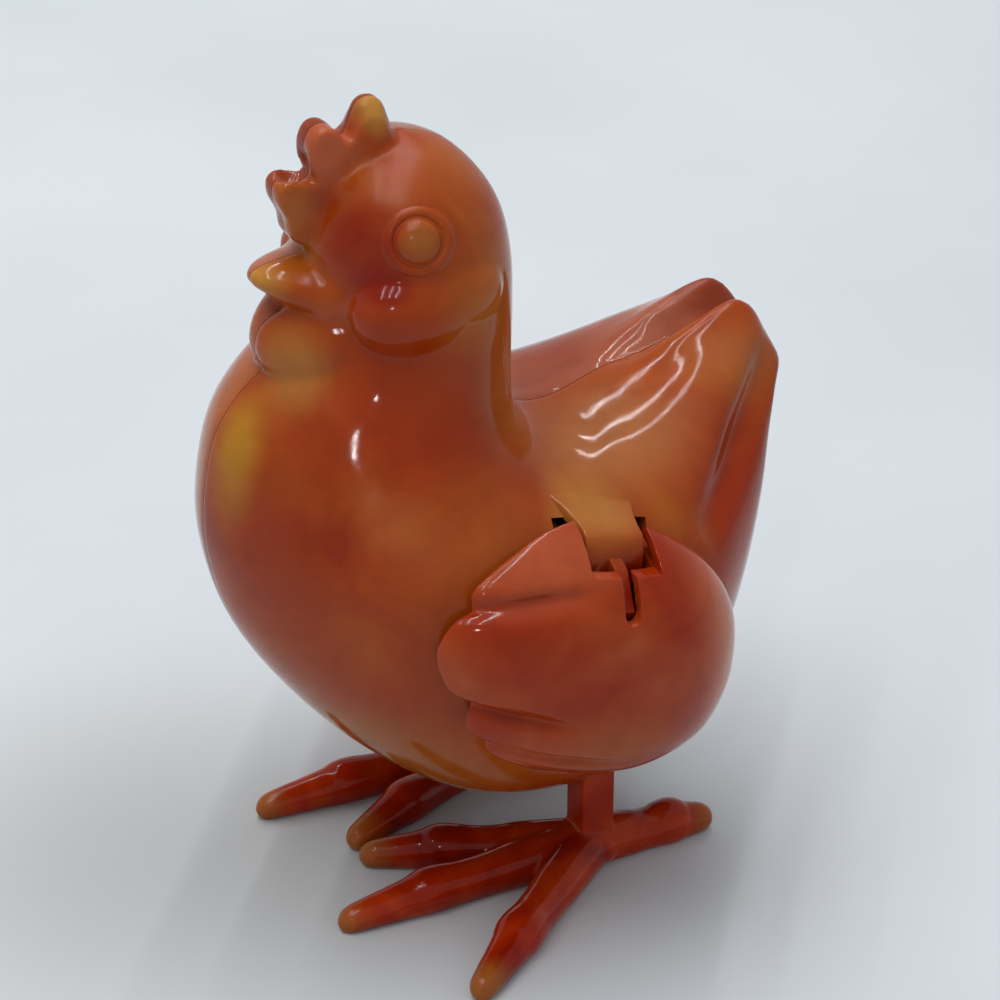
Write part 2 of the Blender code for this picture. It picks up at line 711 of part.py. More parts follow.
def wing_point(spoke, share):
    """A point of the wing's outer skin: share is 0 at its middle and 1 at its rim."""
    y = WING_MIDDLE[0] + share * (spoke[0] - WING_MIDDLE[0])
    z = WING_MIDDLE[1] + share * (spoke[1] - WING_MIDDLE[1])
    drop = 1 - (1 - share**WING_FULLNESS) ** WING_EDGE
    x = WING_TOP_X - (WING_TOP_X - spoke[2]) * drop
    for start, end in FEATHER_LINES:
        run = np.subtract(end, start)
        length = math.hypot(*run)
        along = ((y - start[0]) * run[0] + (z - start[1]) * run[1]) / length**2
        across = ((z - start[1]) * run[0] - (y - start[0]) * run[1]) / length
        fade = min(max(1.15 - along, 0.0), 1.0) ** 0.7 if along > 0 else 1.0
        fade *= 1 - share**4
        x -= FEATHER_DEPTH * fade * math.exp(-((across / FEATHER_HALF_WIDTH) ** 2))
    return (x, y, z)


def wing_skin():
    """The wing's outer skin, open along its rim, which follows the side of the body."""
    spokes = []
    for y, z in round_through(WING_OUTLINE, WING_SPOKES):
        inward = (Vector(WING_MIDDLE) - Vector((y, z))).normalized() * WING_WALL
        near = [Vector((y, z)) + inward * step for step in range(3)]
        side = max(side_of(BODY, *place) or 0.0 for place in near)
        spokes.append((y, z, max(side + WING_CLEAR, WING_RIM_X)))
    shares = np.linspace(0, 1, WING_RINGS + 1)[1:] ** 0.8
    bm = bmesh.new()
    middle = bm.verts.new(wing_point(spokes[0], 0.0))
    rings = [[bm.verts.new(wing_point(spoke, share)) for spoke in spokes] for share in shares]
    for place in range(len(spokes)):
        step = (place + 1) % len(spokes)
        bm.faces.new((middle, rings[0][place], rings[0][step]))
        for near, far in zip(rings, rings[1:]):
            bm.faces.new((near[place], far[place], far[step], near[step]))
    bm.normal_update()
    if sum(face.normal.x for face in bm.faces) < 0:
        bmesh.ops.reverse_faces(bm, faces=bm.faces)
    return mesh_object("wing_left", bm)


def ear(name, y, wing):
    """A hinge ear from the pin to the middle of the wing's wall."""
    high, low = HINGE_Z - EAR_DROP, HINGE_Z - HINGE_HUB
    top = side_of(wing, *tilted_place(y, high)) - WING_WALL / 2
    foot = side_of(wing, *tilted_place(y, low)) - WING_WALL / 2
    hinge = (HINGE_X, HINGE_Z)
    outline = arc(hinge, HINGE_HUB, *EAR_HUB_TURNS, 9) + [(foot, low), (top, high)]
    return add_tool(tilted(plate(name, outline, EAR_THICK, FLAT_IN_XZ, y)))


def wings():
    left = wing_skin()
    add_part(left, plastic("wing_pink"))
    bpy.context.view_layer.update()
    ear_at = NOTCH_HALF_WIDTH + EAR_CLEAR + EAR_THICK / 2
    ears = [ear("ear_front", HINGE_Y - ear_at, left), ear("ear_rear", HINGE_Y + ear_at, left)]
    skin = left.modifiers.new("wall", "SOLIDIFY")
    skin.thickness = WING_WALL * MM
    skin.offset = -1.0
    left.modifiers.new("facets", "TRIANGULATE")
    past = WING_TOP_X + CUT_PAST
    notch_low = (HINGE_X, HINGE_Y - NOTCH_HALF_WIDTH, NOTCH_FOOT)
    notch_high = (past, HINGE_Y + NOTCH_HALF_WIDTH, HINGE_Z + NOTCH_RISE)
    notch = add_tool(tilted(box("wing_notch", notch_low, notch_high)))
    boolean(left, notch, "DIFFERENCE")
    slit_low = (HINGE_X, HINGE_Y - SLIT_WIDE / 2, SLIT_FOOT + SLIT_WIDE / 2)
    slit_high = (past, HINGE_Y + SLIT_WIDE / 2, NOTCH_FOOT + OVERLAP)
    boolean(left, add_tool(tilted(box("wing_slit", slit_low, slit_high))), "DIFFERENCE")
    start = (HINGE_X, HINGE_Y, SLIT_FOOT + SLIT_WIDE / 2)
    end = (past, HINGE_Y, SLIT_FOOT + SLIT_WIDE / 2)
    slit_end = tilted(rod("wing_slit_end", SLIT_WIDE / 2, start, end, 12))
    boolean(left, add_tool(slit_end), "DIFFERENCE")
    for item in ears:
        boolean(left, item, "UNION")
    boolean(left, hinge_hole(), "DIFFERENCE")
    weld(left)
    right = mirrored(left, "wing_right")
    add_part(right, plastic("wing_pink"))
    pins = []
    for side, name in ((1, "wing_pin_left"), (-1, "wing_pin_right")):
        reach = ear_at + EAR_THICK / 2 + HINGE_PIN_PROUD
        start = (side * HINGE_X, HINGE_Y - reach, HINGE_Z)
        end = (side * HINGE_X, HINGE_Y + reach, HINGE_Z)
        pin = tilted(rod(name, HINGE_PIN_RADIUS, start, end))
        pins.append(add_part(pin, plastic("inner_plastic")))
    return left, right, pins


def toe(name, length, angle, side):
    """A toe from under the shank to its tip, sunk a little below the sole's level."""
    turn = math.radians(angle)
    ahead = np.array([side * math.sin(turn), -math.cos(turn)])
    points = []
    for share, thick in zip(TOE_SHARES, TOE_RADII):
        flat = ahead * length * share
        rise = TOE_ROOT_RADIUS * (TOE_SUNK * thick + 0.05)
        points.append((side * SHANK_X + flat[0], flat[1], rise))
    return add_tool(tube(name, points, TOE_RADII, TOE_SIDES_RESOLUTION, TOE_ROOT_RADIUS))


def leg(name, side, toes):
    """Foot and shank in one piece. The sole is cut flat."""
    low = (side * SHANK_X - SHANK_WIDE / 2, -SHANK_DEEP / 2, 1.0)
    high = (side * SHANK_X + SHANK_WIDE / 2, SHANK_DEEP / 2, SHANK_TOP)
    item = add_part(box(name, low, high, rounding=SHANK_ROUND), plastic("leg_red"))
    for number, (length, angle) in enumerate(toes, 1):
        boolean(item, toe(f"{name}_toe_{number}", length, angle, side), "UNION")
    ankle = ball(f"{name}_ankle", (side * SHANK_X, 0, ANKLE_Z), ANKLE_SIZE, 12, 8)
    boolean(item, add_tool(ankle), "UNION")
    floor = box(f"{name}_floor", (-FAR, -FAR, -FAR), (FAR, FAR, 0))
    boolean(item, add_tool(floor), "DIFFERENCE")
    boolean(item, leg_pin_hole(side), "DIFFERENCE")
    return item


def bridge_foot():
    return SLEEVE_TOP + GAP


def bridge_top():
    return bridge_foot() + BRIDGE_THICK


def leg_pin_ends(side, clear):
    """Front and rear ends of a leg's cross pin, which runs along Y through bridge and shank."""
    z = bridge_foot() + BRIDGE_THICK / 2
    x = side * SHANK_X
    reach = SHANK_DEEP / 2 + GAP + SOCKET_WALL + clear
    return (x, -reach, z), (x, reach, z)


def leg_pin_hole(side):
    start, end = leg_pin_ends(side, CUT_PAST)
    return add_tool(rod(f"leg_pin_hole_{side}", LEG_PIN_RADIUS + PIN_CLEAR, start, end, 12))


def bridge(form):
    """The bar that joins the shanks, with the spring's peg and the two lifters of the gate."""
    low = (-SHANK_X, BAR_FRONT, bridge_foot())
    high = (SHANK_X, BAR_REAR, bridge_top())
    item = add_part(box("leg_bridge", low, high), plastic("inner_plastic"))
    half_x = SHANK_WIDE / 2 + GAP
    half_y = SHANK_DEEP / 2 + GAP
    for side in (1, -1):
        low = (side * SHANK_X - half_x - SOCKET_WALL, -half_y - SOCKET_WALL, bridge_foot())
        high = (side * SHANK_X + half_x + SOCKET_WALL, half_y + SOCKET_WALL, bridge_top())
        boolean(item, add_tool(box(f"bridge_end_{side}", low, high)), "UNION")
    boolean(item, form, "INTERSECT")
    peg_end = (0, SPRING_Y, bridge_top() + PEG_HEIGHT)
    peg = rod("bridge_peg", PEG_RADIUS, (0, SPRING_Y, bridge_top() - OVERLAP), peg_end)
    boolean(item, add_tool(peg), "UNION")
    for side in (1, -1):
        rear = GATE_Y - GATE_ARM + LIFTER_SETBACK + LIFTER_DEEP / 2
        low = (side * GATE_CHEEK_X - LIFTER_WIDE / 2, rear - LIFTER_DEEP, bridge_top() - OVERLAP)
        high = (side * GATE_CHEEK_X + LIFTER_WIDE / 2, rear, GATE_Z - GATE_ARM_HALF - GAP)
        boolean(item, add_tool(box(f"lifter_{side}", low, high)), "UNION")
        low = (side * SHANK_X - half_x, -half_y, 0)
        high = (side * SHANK_X + half_x, half_y, SPRING_TOP)
        boolean(item, add_tool(box(f"bridge_socket_{side}", low, high)), "DIFFERENCE")
        boolean(item, leg_pin_hole(side), "DIFFERENCE")
    return item


def leg_pin(name, side):
    start, end = leg_pin_ends(side, 0.0)
    return add_part(rod(name, LEG_PIN_RADIUS, start, end, 12), plastic("steel", 1.0, 0.3))


def spring():
    """Compression spring between the bridge and the beam."""
    foot = bridge_top() + GAP + SPRING_WIRE
    top = SPRING_TOP - GAP - SPRING_WIRE
    count = SPRING_TURNS * SPRING_STEPS_PER_TURN + 1
    points = []
    for step in range(count):
        turn = 2 * math.pi * step / SPRING_STEPS_PER_TURN
        x = SPRING_RADIUS * math.cos(turn)
        y = SPRING_Y + SPRING_RADIUS * math.sin(turn)
        points.append((x, y, foot + (top - foot) * step / (count - 1)))
    gap = (top - foot) / SPRING_TURNS - 2 * SPRING_WIRE
    print(f"return_spring: least gap between turns {gap:.2f} mm")
    item = tube("return_spring", points, [1.0] * count, 1, SPRING_WIRE)
    return add_part(item, plastic("steel", 1.0, 0.3))


def beam(form):
    """The bar across the body that the spring pushes against, glued between the halves."""
    half = BEAM_DEEP / 2
    low = (-FAR, SPRING_Y - half, SPRING_TOP)
    high = (FAR, SPRING_Y + half, SPRING_TOP + BEAM_THICK)
    item = add_part(box("spring_beam", low, high), plastic("inner_plastic"))
    boolean(item, form, "INTERSECT")
    peg_foot = (0, SPRING_Y, SPRING_TOP - PEG_HEIGHT)
    peg = rod("beam_peg", PEG_RADIUS, peg_foot, (0, SPRING_Y, SPRING_TOP + OVERLAP))
    boolean(item, add_tool(peg), "UNION")
    return item


def hopper(form):
    """The funnel, trimmed to the inside of the body, with its tube and the gate's pivot ears."""
    outer = CHUTE_RADIUS + CHUTE_WALL
    rim = FUNNEL_Z + (FAR / 2 - CHUTE_RADIUS) * FUNNEL_SLOPE
    under = FUNNEL_Z - CHUTE_WALL + (outer - CHUTE_RADIUS) * FUNNEL_SLOPE
    profile = [
        (FAR / 2, rim), (FAR / 2, rim - CHUTE_WALL), (outer, under),
        (outer, CHUTE_FOOT), (CHUTE_RADIUS, CHUTE_FOOT), (CHUTE_RADIUS, FUNNEL_Z),
    ]
    item = add_part(turned("egg_hopper", profile, CHUTE_Y, FUNNEL_STEPS), plastic("inner_plastic"))
    boolean(item, form, "INTERSECT")
    pivot = (GATE_Y, GATE_Z)
    inner = CHUTE_Y - EAR_ROOT
    outline = arc(pivot, GATE_HUB, 90.0, 270.0, 9)
    outline += [(inner, GATE_Z - GATE_HUB), (inner, GATE_Z + GATE_HUB)]
    for side in (1, -1):
        lug = plate(f"pivot_ear_{side}", outline, PIVOT_EAR_THICK, FLAT_IN_YZ, side * PIVOT_EAR_X)
        boolean(item, add_tool(lug), "UNION")
    boolean(item, gate_pin_hole(), "DIFFERENCE")
    return item


def gate_pin_hole():
    start, end = (-SHANK_X, GATE_Y, GATE_Z), (SHANK_X, GATE_Y, GATE_Z)
    return add_tool(rod("gate_pin_hole", GATE_PIN_RADIUS + PIN_CLEAR, start, end))


def gate():
    """The swinging gate: its arms lie over the lifters and its shelf under the lowest egg."""
    pivot = (GATE_Y, GATE_Z)
    outer = GATE_SHELF_RADIUS + GATE_SHELF_THICK
    rear, front = GATE_SHELF_REAR, GATE_SHELF_FRONT
    arm_end = GATE_Y - GATE_ARM
    cheek = [(arm_end, GATE_Z - GATE_ARM_HALF), (arm_end, GATE_Z + GATE_ARM_HALF)]
    cheek += arc(pivot, GATE_HUB, *GATE_CHEEK_REAR_TURNS, 5)
    cheek += arc(pivot, outer - GATE_SHELF_THICK / 2, rear - 2.0, front + 2.0, 9)
    cheek += arc(pivot, GATE_HUB, *GATE_CHEEK_FRONT_TURNS, 2)
    shelf = arc(pivot, outer, rear, front, 10)
    shelf += arc(pivot, GATE_SHELF_RADIUS, front, rear, 10)
    width = 2 * GATE_CHEEK_X
    item = add_part(plate("egg_gate", shelf, width, FLAT_IN_YZ), plastic("inner_plastic"))
    for side in (1, -1):
        name = f"gate_cheek_{side}"
        form = plate(name, cheek, GATE_CHEEK_THICK, FLAT_IN_YZ, side * GATE_CHEEK_X)
        boolean(item, add_tool(form), "UNION")
    boolean(item, gate_pin_hole(), "DIFFERENCE")
    return item


def gate_pin():
    reach = GATE_CHEEK_X + GATE_CHEEK_THICK / 2 + GATE_PIN_PROUD
    start, end = (-reach, GATE_Y, GATE_Z), (reach, GATE_Y, GATE_Z)
    return add_part(rod("gate_pin", GATE_PIN_RADIUS, start, end), plastic("steel", 1.0, 0.3))


def egg(name, middle):
    """An egg lying across the hen, narrower at one end."""
    bm = bmesh.new()
    bmesh.ops.create_uvsphere(bm, u_segments=14, v_segments=9, radius=1.0)
    for vert in bm.verts:
        x, y, z = vert.co
        thin = EGG_RADIUS * (1 - EGG_TAPER * z) / (1 + EGG_TAPER**2 / 2)
        vert.co = (z * EGG_HALF_LENGTH, y * thin, -x * thin)
    item = add_part(mesh_object(name, bm), plastic("egg_white", roughness=0.35))
    item.location = Vector(middle) * MM
    return item


def eggs():
    """One egg on the gate, one above it in the tube, and three round it in the funnel."""
    apart = 2 * EGG_RADIUS + EGG_CLEAR
    drop = math.radians(GATE_SHELF_REAR)
    tip_y = GATE_Y + GATE_SHELF_RADIUS * math.cos(drop)
    tip_z = GATE_Z + GATE_SHELF_RADIUS * math.sin(drop)
    beside = tip_y - CHUTE_Y
    first = tip_z + math.sqrt((EGG_RADIUS + EGG_CLEAR) ** 2 - beside**2)
    second = first + apart
    lean = math.sqrt(1 + FUNNEL_SLOPE**2)
    ring, rise = apart, 0.0
    while ring > CHUTE_RADIUS:
        rise = FUNNEL_Z + (ring - CHUTE_RADIUS) * FUNNEL_SLOPE + (EGG_RADIUS + EGG_CLEAR) * lean
        if math.hypot(ring, rise - second) <= apart:
            break
        ring -= 0.1
    ring += 0.1
    found = [egg("egg_1", (0, CHUTE_Y, first)), egg("egg_2", (0, CHUTE_Y, second))]
    for number, turn in enumerate((-90.0, 0.0, 180.0), 3):
        x, y = arc((0, CHUTE_Y), ring, turn, turn, 1)[0]
        lift = 0.0 if number == 3 else (EGG_HALF_LENGTH - EGG_RADIUS)
        found.append(egg(f"egg_{number}", (x * (1 + lift / ring), y, rise + lift * 0.5)))
    return found


def joint_empty(name, at, parent=None):
    """An empty on a joint's axis, which the joint's pieces follow."""
    empty = bpy.data.objects.new(name, None)
    empty.location = Vector(at) * MM
    empty.empty_display_size = 0.01
    PARTS.objects.link(empty)
    bpy.context.view_layer.update()
    if parent:
        follow(empty, parent)
    return empty


def follow(item, parent):
    bpy.context.view_layer.update()
    place = item.matrix_world.copy()
    item.parent = parent
    item.matrix_parent_inverse = parent.matrix_world.inverted()
    item.matrix_world = place


clear_scene()
PARTS = new_collection("egg_laying_hen")
TOOLS = new_collection("cutters_and_forms", helper=True)
BODY = add_tool(body_form("body_outside", body_rows(OUTSIDE_ROWS, OUTSIDE_STEPS)))
INNER_ROWS = body_rows(INSIDE_ROWS, INSIDE_STEPS)
HOLLOW = add_tool(body_form("body_hollow", INNER_ROWS, WALL))
WALL_FORM = add_tool(body_form("body_mid_wall", INNER_ROWS, WALL / 2))
INSIDE = add_tool(body_form("body_inside", INNER_ROWS, WALL + GAP))
bpy.context.view_layer.update()

shells = body_shells(WALL_FORM)
wing_left, wing_right, wing_pins = wings()
legs = [leg("leg_left", 1, LEFT_TOES), leg("leg_right", -1, RIGHT_TOES)]
legs += [bridge(INSIDE), leg_pin("leg_pin_left", 1), leg_pin("leg_pin_right", -1), spring()]
inner = [beam(INSIDE), hopper(INSIDE), gate_pin(), *eggs()]
swing_gate = gate()

press = joint_empty("press_slide", (0, 0, bridge_foot()))
for piece in [*shells, *wing_pins, *inner]:
    follow(piece, press)
hinge_left = joint_empty("wing_hinge_left", (HINGE_X, HINGE_Y, HINGE_Z), press)
hinge_right = joint_empty("wing_hinge_right", (-HINGE_X, HINGE_Y, HINGE_Z), press)
gate_pivot = joint_empty("gate_pivot", (0, GATE_Y, GATE_Z), press)
for piece in [*legs, *inner, swing_gate]:
    if any(modifier.type == "BOOLEAN" for modifier in piece.modifiers):
        weld(piece)
follow(wing_left, hinge_left)
follow(wing_right, hinge_right)
follow(swing_gate, gate_pivot)
for piece in [*PARTS.objects, *TOOLS.objects]:
    if piece.parent is None:
        piece.location.y += ORIGIN_AHEAD * MM
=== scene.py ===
"""The egg-laying hen toy as it looks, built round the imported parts.

Forms are laid out in millimetres from the middle of the line between the shanks, with the hen
facing -Y and its left side at +X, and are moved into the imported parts' frame as each mesh is made.
"""

import math

import bmesh
import bpy
import numpy as np
from mathutils import Matrix, Vector
from mathutils.bvhtree import BVHTree


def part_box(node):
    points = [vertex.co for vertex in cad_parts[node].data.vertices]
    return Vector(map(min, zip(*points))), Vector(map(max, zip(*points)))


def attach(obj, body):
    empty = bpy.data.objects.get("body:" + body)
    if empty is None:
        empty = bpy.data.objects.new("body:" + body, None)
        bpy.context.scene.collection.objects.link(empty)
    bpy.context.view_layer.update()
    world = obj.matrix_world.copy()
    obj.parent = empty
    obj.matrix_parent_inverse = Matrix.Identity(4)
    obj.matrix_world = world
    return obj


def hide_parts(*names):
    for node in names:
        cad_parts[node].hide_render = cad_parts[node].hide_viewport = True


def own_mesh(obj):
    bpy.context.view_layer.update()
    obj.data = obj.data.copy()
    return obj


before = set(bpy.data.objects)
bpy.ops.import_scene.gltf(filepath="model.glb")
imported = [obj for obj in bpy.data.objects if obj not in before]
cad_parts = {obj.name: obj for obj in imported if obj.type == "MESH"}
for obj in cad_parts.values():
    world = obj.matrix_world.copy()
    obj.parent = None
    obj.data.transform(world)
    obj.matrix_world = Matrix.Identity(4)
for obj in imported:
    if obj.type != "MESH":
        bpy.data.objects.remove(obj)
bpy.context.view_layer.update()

MM = 0.001
ORIGIN_AHEAD = 7.2

# Body wall and seam. SEAM_CUT takes the right half off a whole body.
WALL = 1.4
SEAM_GAP = 0.12
SEAM_CUT = ((-60, -80, -20), (SEAM_GAP / 2, 80, 120))
SEAM_DIP = 0.10
SEAM_DIP_WIDE = 0.25

# Moulded surfaces: voxel size, and how many rounds soften them
BODY_MOULD = (0.36, 8)
COMB_MOULD = (0.30, 10)
WING_MOULD = (0.22, 6)
LEG_MOULD = (0.24, 3)
SHARP_ANGLE = 40.0

# Body form: seam points (y, z) at the front and at the back, half width, where along the section
# it is widest, depth of the valley between the tail lobes, fullness below and above
STATIONS = [
    ((-17.7, 91.3), (-17.7, 91.3), 0.0, 0.50, 0.0, 2.00, 2.0),
    ((-22.3, 89.8), (-12.8, 89.4), 6.0, 0.50, 0.0, 2.00, 2.0),
    ((-26.2, 87.0), (-9.4, 86.1), 9.8, 0.50, 0.0, 2.00, 2.0),
    ((-28.6, 82.6), (-7.2, 82.2), 12.0, 0.50, 0.0, 2.00, 2.0),
    ((-29.3, 77.5), (-6.2, 77.3), 13.0, 0.50, 0.0, 2.00, 2.0),
    ((-29.0, 72.5), (-6.1, 71.5), 13.2, 0.50, 0.0, 2.00, 2.0),
    ((-31.5, 68.5), (-6.2, 66.0), 13.6, 0.50, 0.0, 2.00, 2.0),
    ((-36.3, 64.8), (-6.3, 61.6), 15.0, 0.52, 0.0, 1.90, 2.0),
    ((-39.8, 60.0), (-6.0, 58.4), 17.4, 0.52, 0.0, 1.75, 2.0),
    ((-41.4, 53.0), (-4.8, 56.5), 20.6, 0.50, 0.0, 1.65, 2.0),
    ((-41.4, 46.0), (-2.2, 55.7), 23.8, 0.46, 0.0, 1.62, 2.0),
    ((-39.2, 37.5), (0.6, 55.9), 25.9, 0.43, 0.0, 1.65, 2.0),
    ((-34.4, 28.8), (3.2, 56.7), 27.0, 0.40, 0.0, 1.75, 2.0),
    ((-27.0, 20.0), (6.0, 57.7), 27.2, 0.40, 0.0, 1.95, 2.0),
    ((-17.5, 13.0), (8.9, 58.9), 26.6, 0.42, 1.0, 2.10, 2.0),
    ((-6.0, 9.6), (11.8, 60.2), 24.8, 0.45, 2.0, 2.10, 2.0),
    ((5.0, 9.8), (14.6, 61.5), 21.8, 0.50, 2.5, 2.10, 2.0),
    ((14.0, 13.8), (17.3, 62.7), 17.8, 0.55, 3.0, 1.80, 2.0),
    ((20.3, 21.5), (19.8, 63.7), 14.0, 0.60, 3.0, 1.45, 2.0),
    ((23.2, 32.0), (22.0, 64.1), 11.0, 0.62, 3.0, 1.20, 2.0),
    ((24.9, 43.0), (23.8, 63.3), 9.2, 0.62, 3.0, 1.15, 2.0),
    ((26.2, 51.5), (25.2, 61.4), 7.6, 0.58, 2.5, 1.20, 2.0),
    ((27.0, 55.5), (26.4, 58.9), 5.0, 0.50, 2.0, 1.40, 2.0),
    ((27.2, 57.2), (27.2, 57.2), 0.0, 0.50, 0.0, 2.00, 2.0),
]
OUTSIDE_DETAIL = (5, 49)
INSIDE_DETAIL = (1, 17)
TIP_ROWS = 2

# Tail's top: the valley along the seam and the ridges beside it, by their places y
VALLEY_PLACES = (4.0, 24.0)
VALLEY_HALF_WIDTHS = (3.9, 2.0)
RIDGE_PLACES = (5.0, 13.0, 22.0, 26.5)
RIDGE_RISES = (0.0, 1.5, 1.3, 0.2)
RIDGE_AT = 2.8
RIDGE_HALF_WIDTH = 2.1

# Folds down each flank of the tail: groove line (y, z) to (y, z), how deep, how wide, how far
# it runs on past its ends, and how far from the seam it reaches its full depth
FOLD_TOP = (23.5, 62.0)
FOLD_FOOT = (8.5, 49.2)
FOLD_SETBACK = 2.6
FOLD_DEPTH = 2.2
FOLD_HALF_WIDTH = 2.2
FOLD_RUN_ON = 2.0
FOLD_START_X = 3.0

# Head, left side: balls as place and half lengths, and the beak as a chain of balls
CHEEKS = [((9.4, -20.4, 75.0), (4.9, 7.2, 5.0)), ((9.2, -16.8, 76.3), (4.5, 6.4, 5.0))]
WATTLE_AT = (4.0, -27.6, 69.4)
WATTLE_SIZE = (3.9, 8.3, 5.4)
WATTLE_TOE_IN = 32.0
BEAK_LINE = [
    (0.0, -24.0, 75.8, 8.3), (0.0, -27.0, 76.2, 6.5), (0.0, -29.6, 76.9, 4.8),
    (0.0, -31.6, 77.3, 3.5), (0.0, -32.9, 77.5, 2.4),
]
BEAK_FLAT = 0.5
JAW_AT = (4.6, -26.6, 74.9)
JAW_SIZE = (2.7, 3.6, 1.9)

# Comb: a rounded blade along the seam, a dish on top of its front lobe, and its rear cone
COMB_OUTLINE = [
    (-17.9, 86.0), (-18.8, 90.0), (-19.8, 92.8), (-20.6, 94.1), (-21.7, 94.4), (-22.7, 93.6),
    (-23.5, 92.2), (-24.4, 91.5), (-25.3, 92.8), (-26.6, 93.6), (-27.9, 93.0), (-28.6, 91.4),
    (-28.6, 89.4), (-27.7, 87.4), (-29.3, 88.0), (-31.0, 88.4), (-32.2, 87.6), (-32.2, 85.9),
    (-31.2, 83.8), (-30.5, 81.3), (-26.0, 80.0), (-20.0, 84.0),
]
COMB_HALF_THICK = 2.35
COMB_DISH = (0.0, -29.9, 89.3, 2.1)
CREST_CONE = [(0.0, -21.4, 88.0, 3.3), (0.0, -21.4, 91.0, 2.8), (0.0, -21.3, 93.8, 1.9)]

# Eye: heights above the head's skin, from the middle of the pupil out to the ring's foot.
# EYE_REACH: how far to each side the skin's slope is measured.
EYE_AT = (-20.6, 83.4)
EYE_REACH = 3.0
EYE_PROFILE = [
    (0.0, 0.95), (0.7, 0.92), (1.35, 0.82), (1.8, 0.64), (2.15, 0.38), (2.4, 0.10), (2.6, 0.05),
    (2.8, 0.20), (3.1, 0.28), (3.4, 0.24), (3.65, 0.08), (3.9, -0.15), (4.2, -0.6),
]
EYE_FOOT = -2.2
EYE_STEPS = 72
HEAD_CURVE = 25.0

# Wing hinge, laid out level and then turned with the pin, whose front end stands higher
HINGE_X = 18.6
HINGE_Y = -4.5
HINGE_Z = 48.4
HINGE_TILT = 13.0
HINGE_HOLE = 1.1
HINGE_HUB = 2.3
STRAP_HALF_WIDTH = 3.6
STRAP_ROOT_HALF_WIDTH = 5.3
STRAP_ROOT_X = 17.4
STRAP_BEND_X = 23.4
STRAP_OUTSIDE = [
    (14.8, 53.3), (17.3, 52.9), (21.0, 52.0), (23.5, 51.3), (24.4, 50.6), (25.1, 49.0),
    (25.4, 47.6), (25.5, 46.2),
]
STRAP_INSIDE = [
    (24.2, 46.2), (24.1, 47.6), (23.8, 49.0), (23.3, 49.8), (22.8, 50.2), (20.6, 50.7),
    (17.2, 51.6), (14.6, 52.0),
]
STRAP_EDGE = 0.28
STRAP_SHARP_ANGLE = 50.0
WEB_THICK = 1.6
WEB_REACH = 11.9
WEB_TOP = [
    (20.8, 51.3), (23.1, 50.75), (23.9, 50.2), (24.4, 49.2), (26.6, 48.4), (27.6, 47.5),
    (28.9, 46.0),
]
WEB_FRONT_TURNS = (-16.5, -32.0)
WEB_HUB_TURNS = (-60.0, -225.0)
WINDOW_HALF_WIDTH = 5.85
WINDOW_INWARD = 7.0
WINDOW_TOP = 51.3
WINDOW_FOOT = 36.8

# Wing: outline (y, z) and dome
WING_OUTLINE = [
    (-4.4, 52.4), (-9.6, 53.2), (-15.2, 52.4), (-21.4, 50.0), (-23.9, 47.4), (-26.1, 43.6),
    (-24.9, 38.6), (-23.3, 36.2), (-22.4, 32.6), (-18.4, 28.0), (-10.9, 24.3), (-1.5, 21.4),
    (6.8, 22.8), (11.2, 29.0), (11.6, 36.5), (8.4, 43.8), (2.4, 49.4),
]
WING_MIDDLE = (-6.5, 36.5)
WING_TOP_X = 33.0
WING_RIM_X = 22.4
WING_WALL = 1.3
WING_CLEAR = 0.7
WING_FULLNESS = 2.6
WING_EDGE = 0.75
WING_RINGS = 30
WING_RING_CROWDING = 0.7
WING_SPOKES = 168

# Grooves between the wing's feathers: line (y, z) to (y, z), depth and half width. They fade out
# toward the rear end of their lines. At the rim they draw the edge in instead.
FEATHER_LINES = [
    ((-25.2, 48.6), (-9.0, 48.1), 1.7, 0.90),
    ((-25.2, 37.6), (-12.2, 33.8), 1.6, 0.85),
    ((-21.8, 31.4), (-6.0, 26.4), 1.2, 0.60),
]
FEATHER_GONE = 1.1
FEATHER_FADE = 0.45
FEATHER_POWER = 1.6
RIM_SHALLOW_POWER = 8
RIM_PULL = 0.9
RIM_PULL_POWER = 6

# Wing's notch, slit and hinge ears. TRIM cuts notch and slit clean after the edges are softened.
NOTCH_HALF_WIDTH = 4.3
NOTCH_FOOT = 48.6
NOTCH_RISE = 12.0
TRIM = 0.1
SLIT_WIDE = 1.8
SLIT_FOOT = 44.3
EAR_THICK = 1.1
EAR_SETBACK = 0.15
EAR_HUB = 1.8
EAR_DROP = 0.2
EAR_HUB_TURNS = (70.0, 270.0)
EAR_AT = NOTCH_HALF_WIDTH + EAR_SETBACK + EAR_THICK / 2
CUT_PAST = 2.0

# Legs: toes as length and angle out from straight ahead in degrees, and their shape as share of
# the length and of the root's radius. A toe's middle lies TOE_RISE of its radius above the ground.
SHANK_X = 11.9
SHANK_WIDE = 4.2
SHANK_FOOT = 1.0
SHANK_TOP = 20.6
ANKLE_RISE = 2.4
ANKLE_SIZE = (3.6, 3.6, 2.8)
TOE_ROOT_RADIUS = 3.0
TOE_SHAPE = [
    (0.00, 1.00), (0.16, 0.97), (0.30, 0.93), (0.40, 0.86), (0.52, 0.86), (0.60, 0.92),
    (0.65, 0.93), (0.70, 0.82), (0.80, 0.70), (0.88, 0.62), (0.94, 0.54), (0.97, 0.42),
]
TOE_RISE = 0.72
TOE_LIFT = 0.15
TOE_STEP = 0.4
SOLE_CUT = ((-60, -60, -10), (60, 60, 0.02))
LEFT_TOES = [(30.5, 39.0), (32.3, 1.0), (27.0, -23.0), (16.2, 180.0)]
RIGHT_TOES = [(23.5, 52.0), (32.3, 1.0), (27.0, -23.0), (16.2, 180.0)]
LEG_PIN_Z = 19.05
LEG_PIN_HOLE = 0.8
LEG_PIN_REACH = 5.0

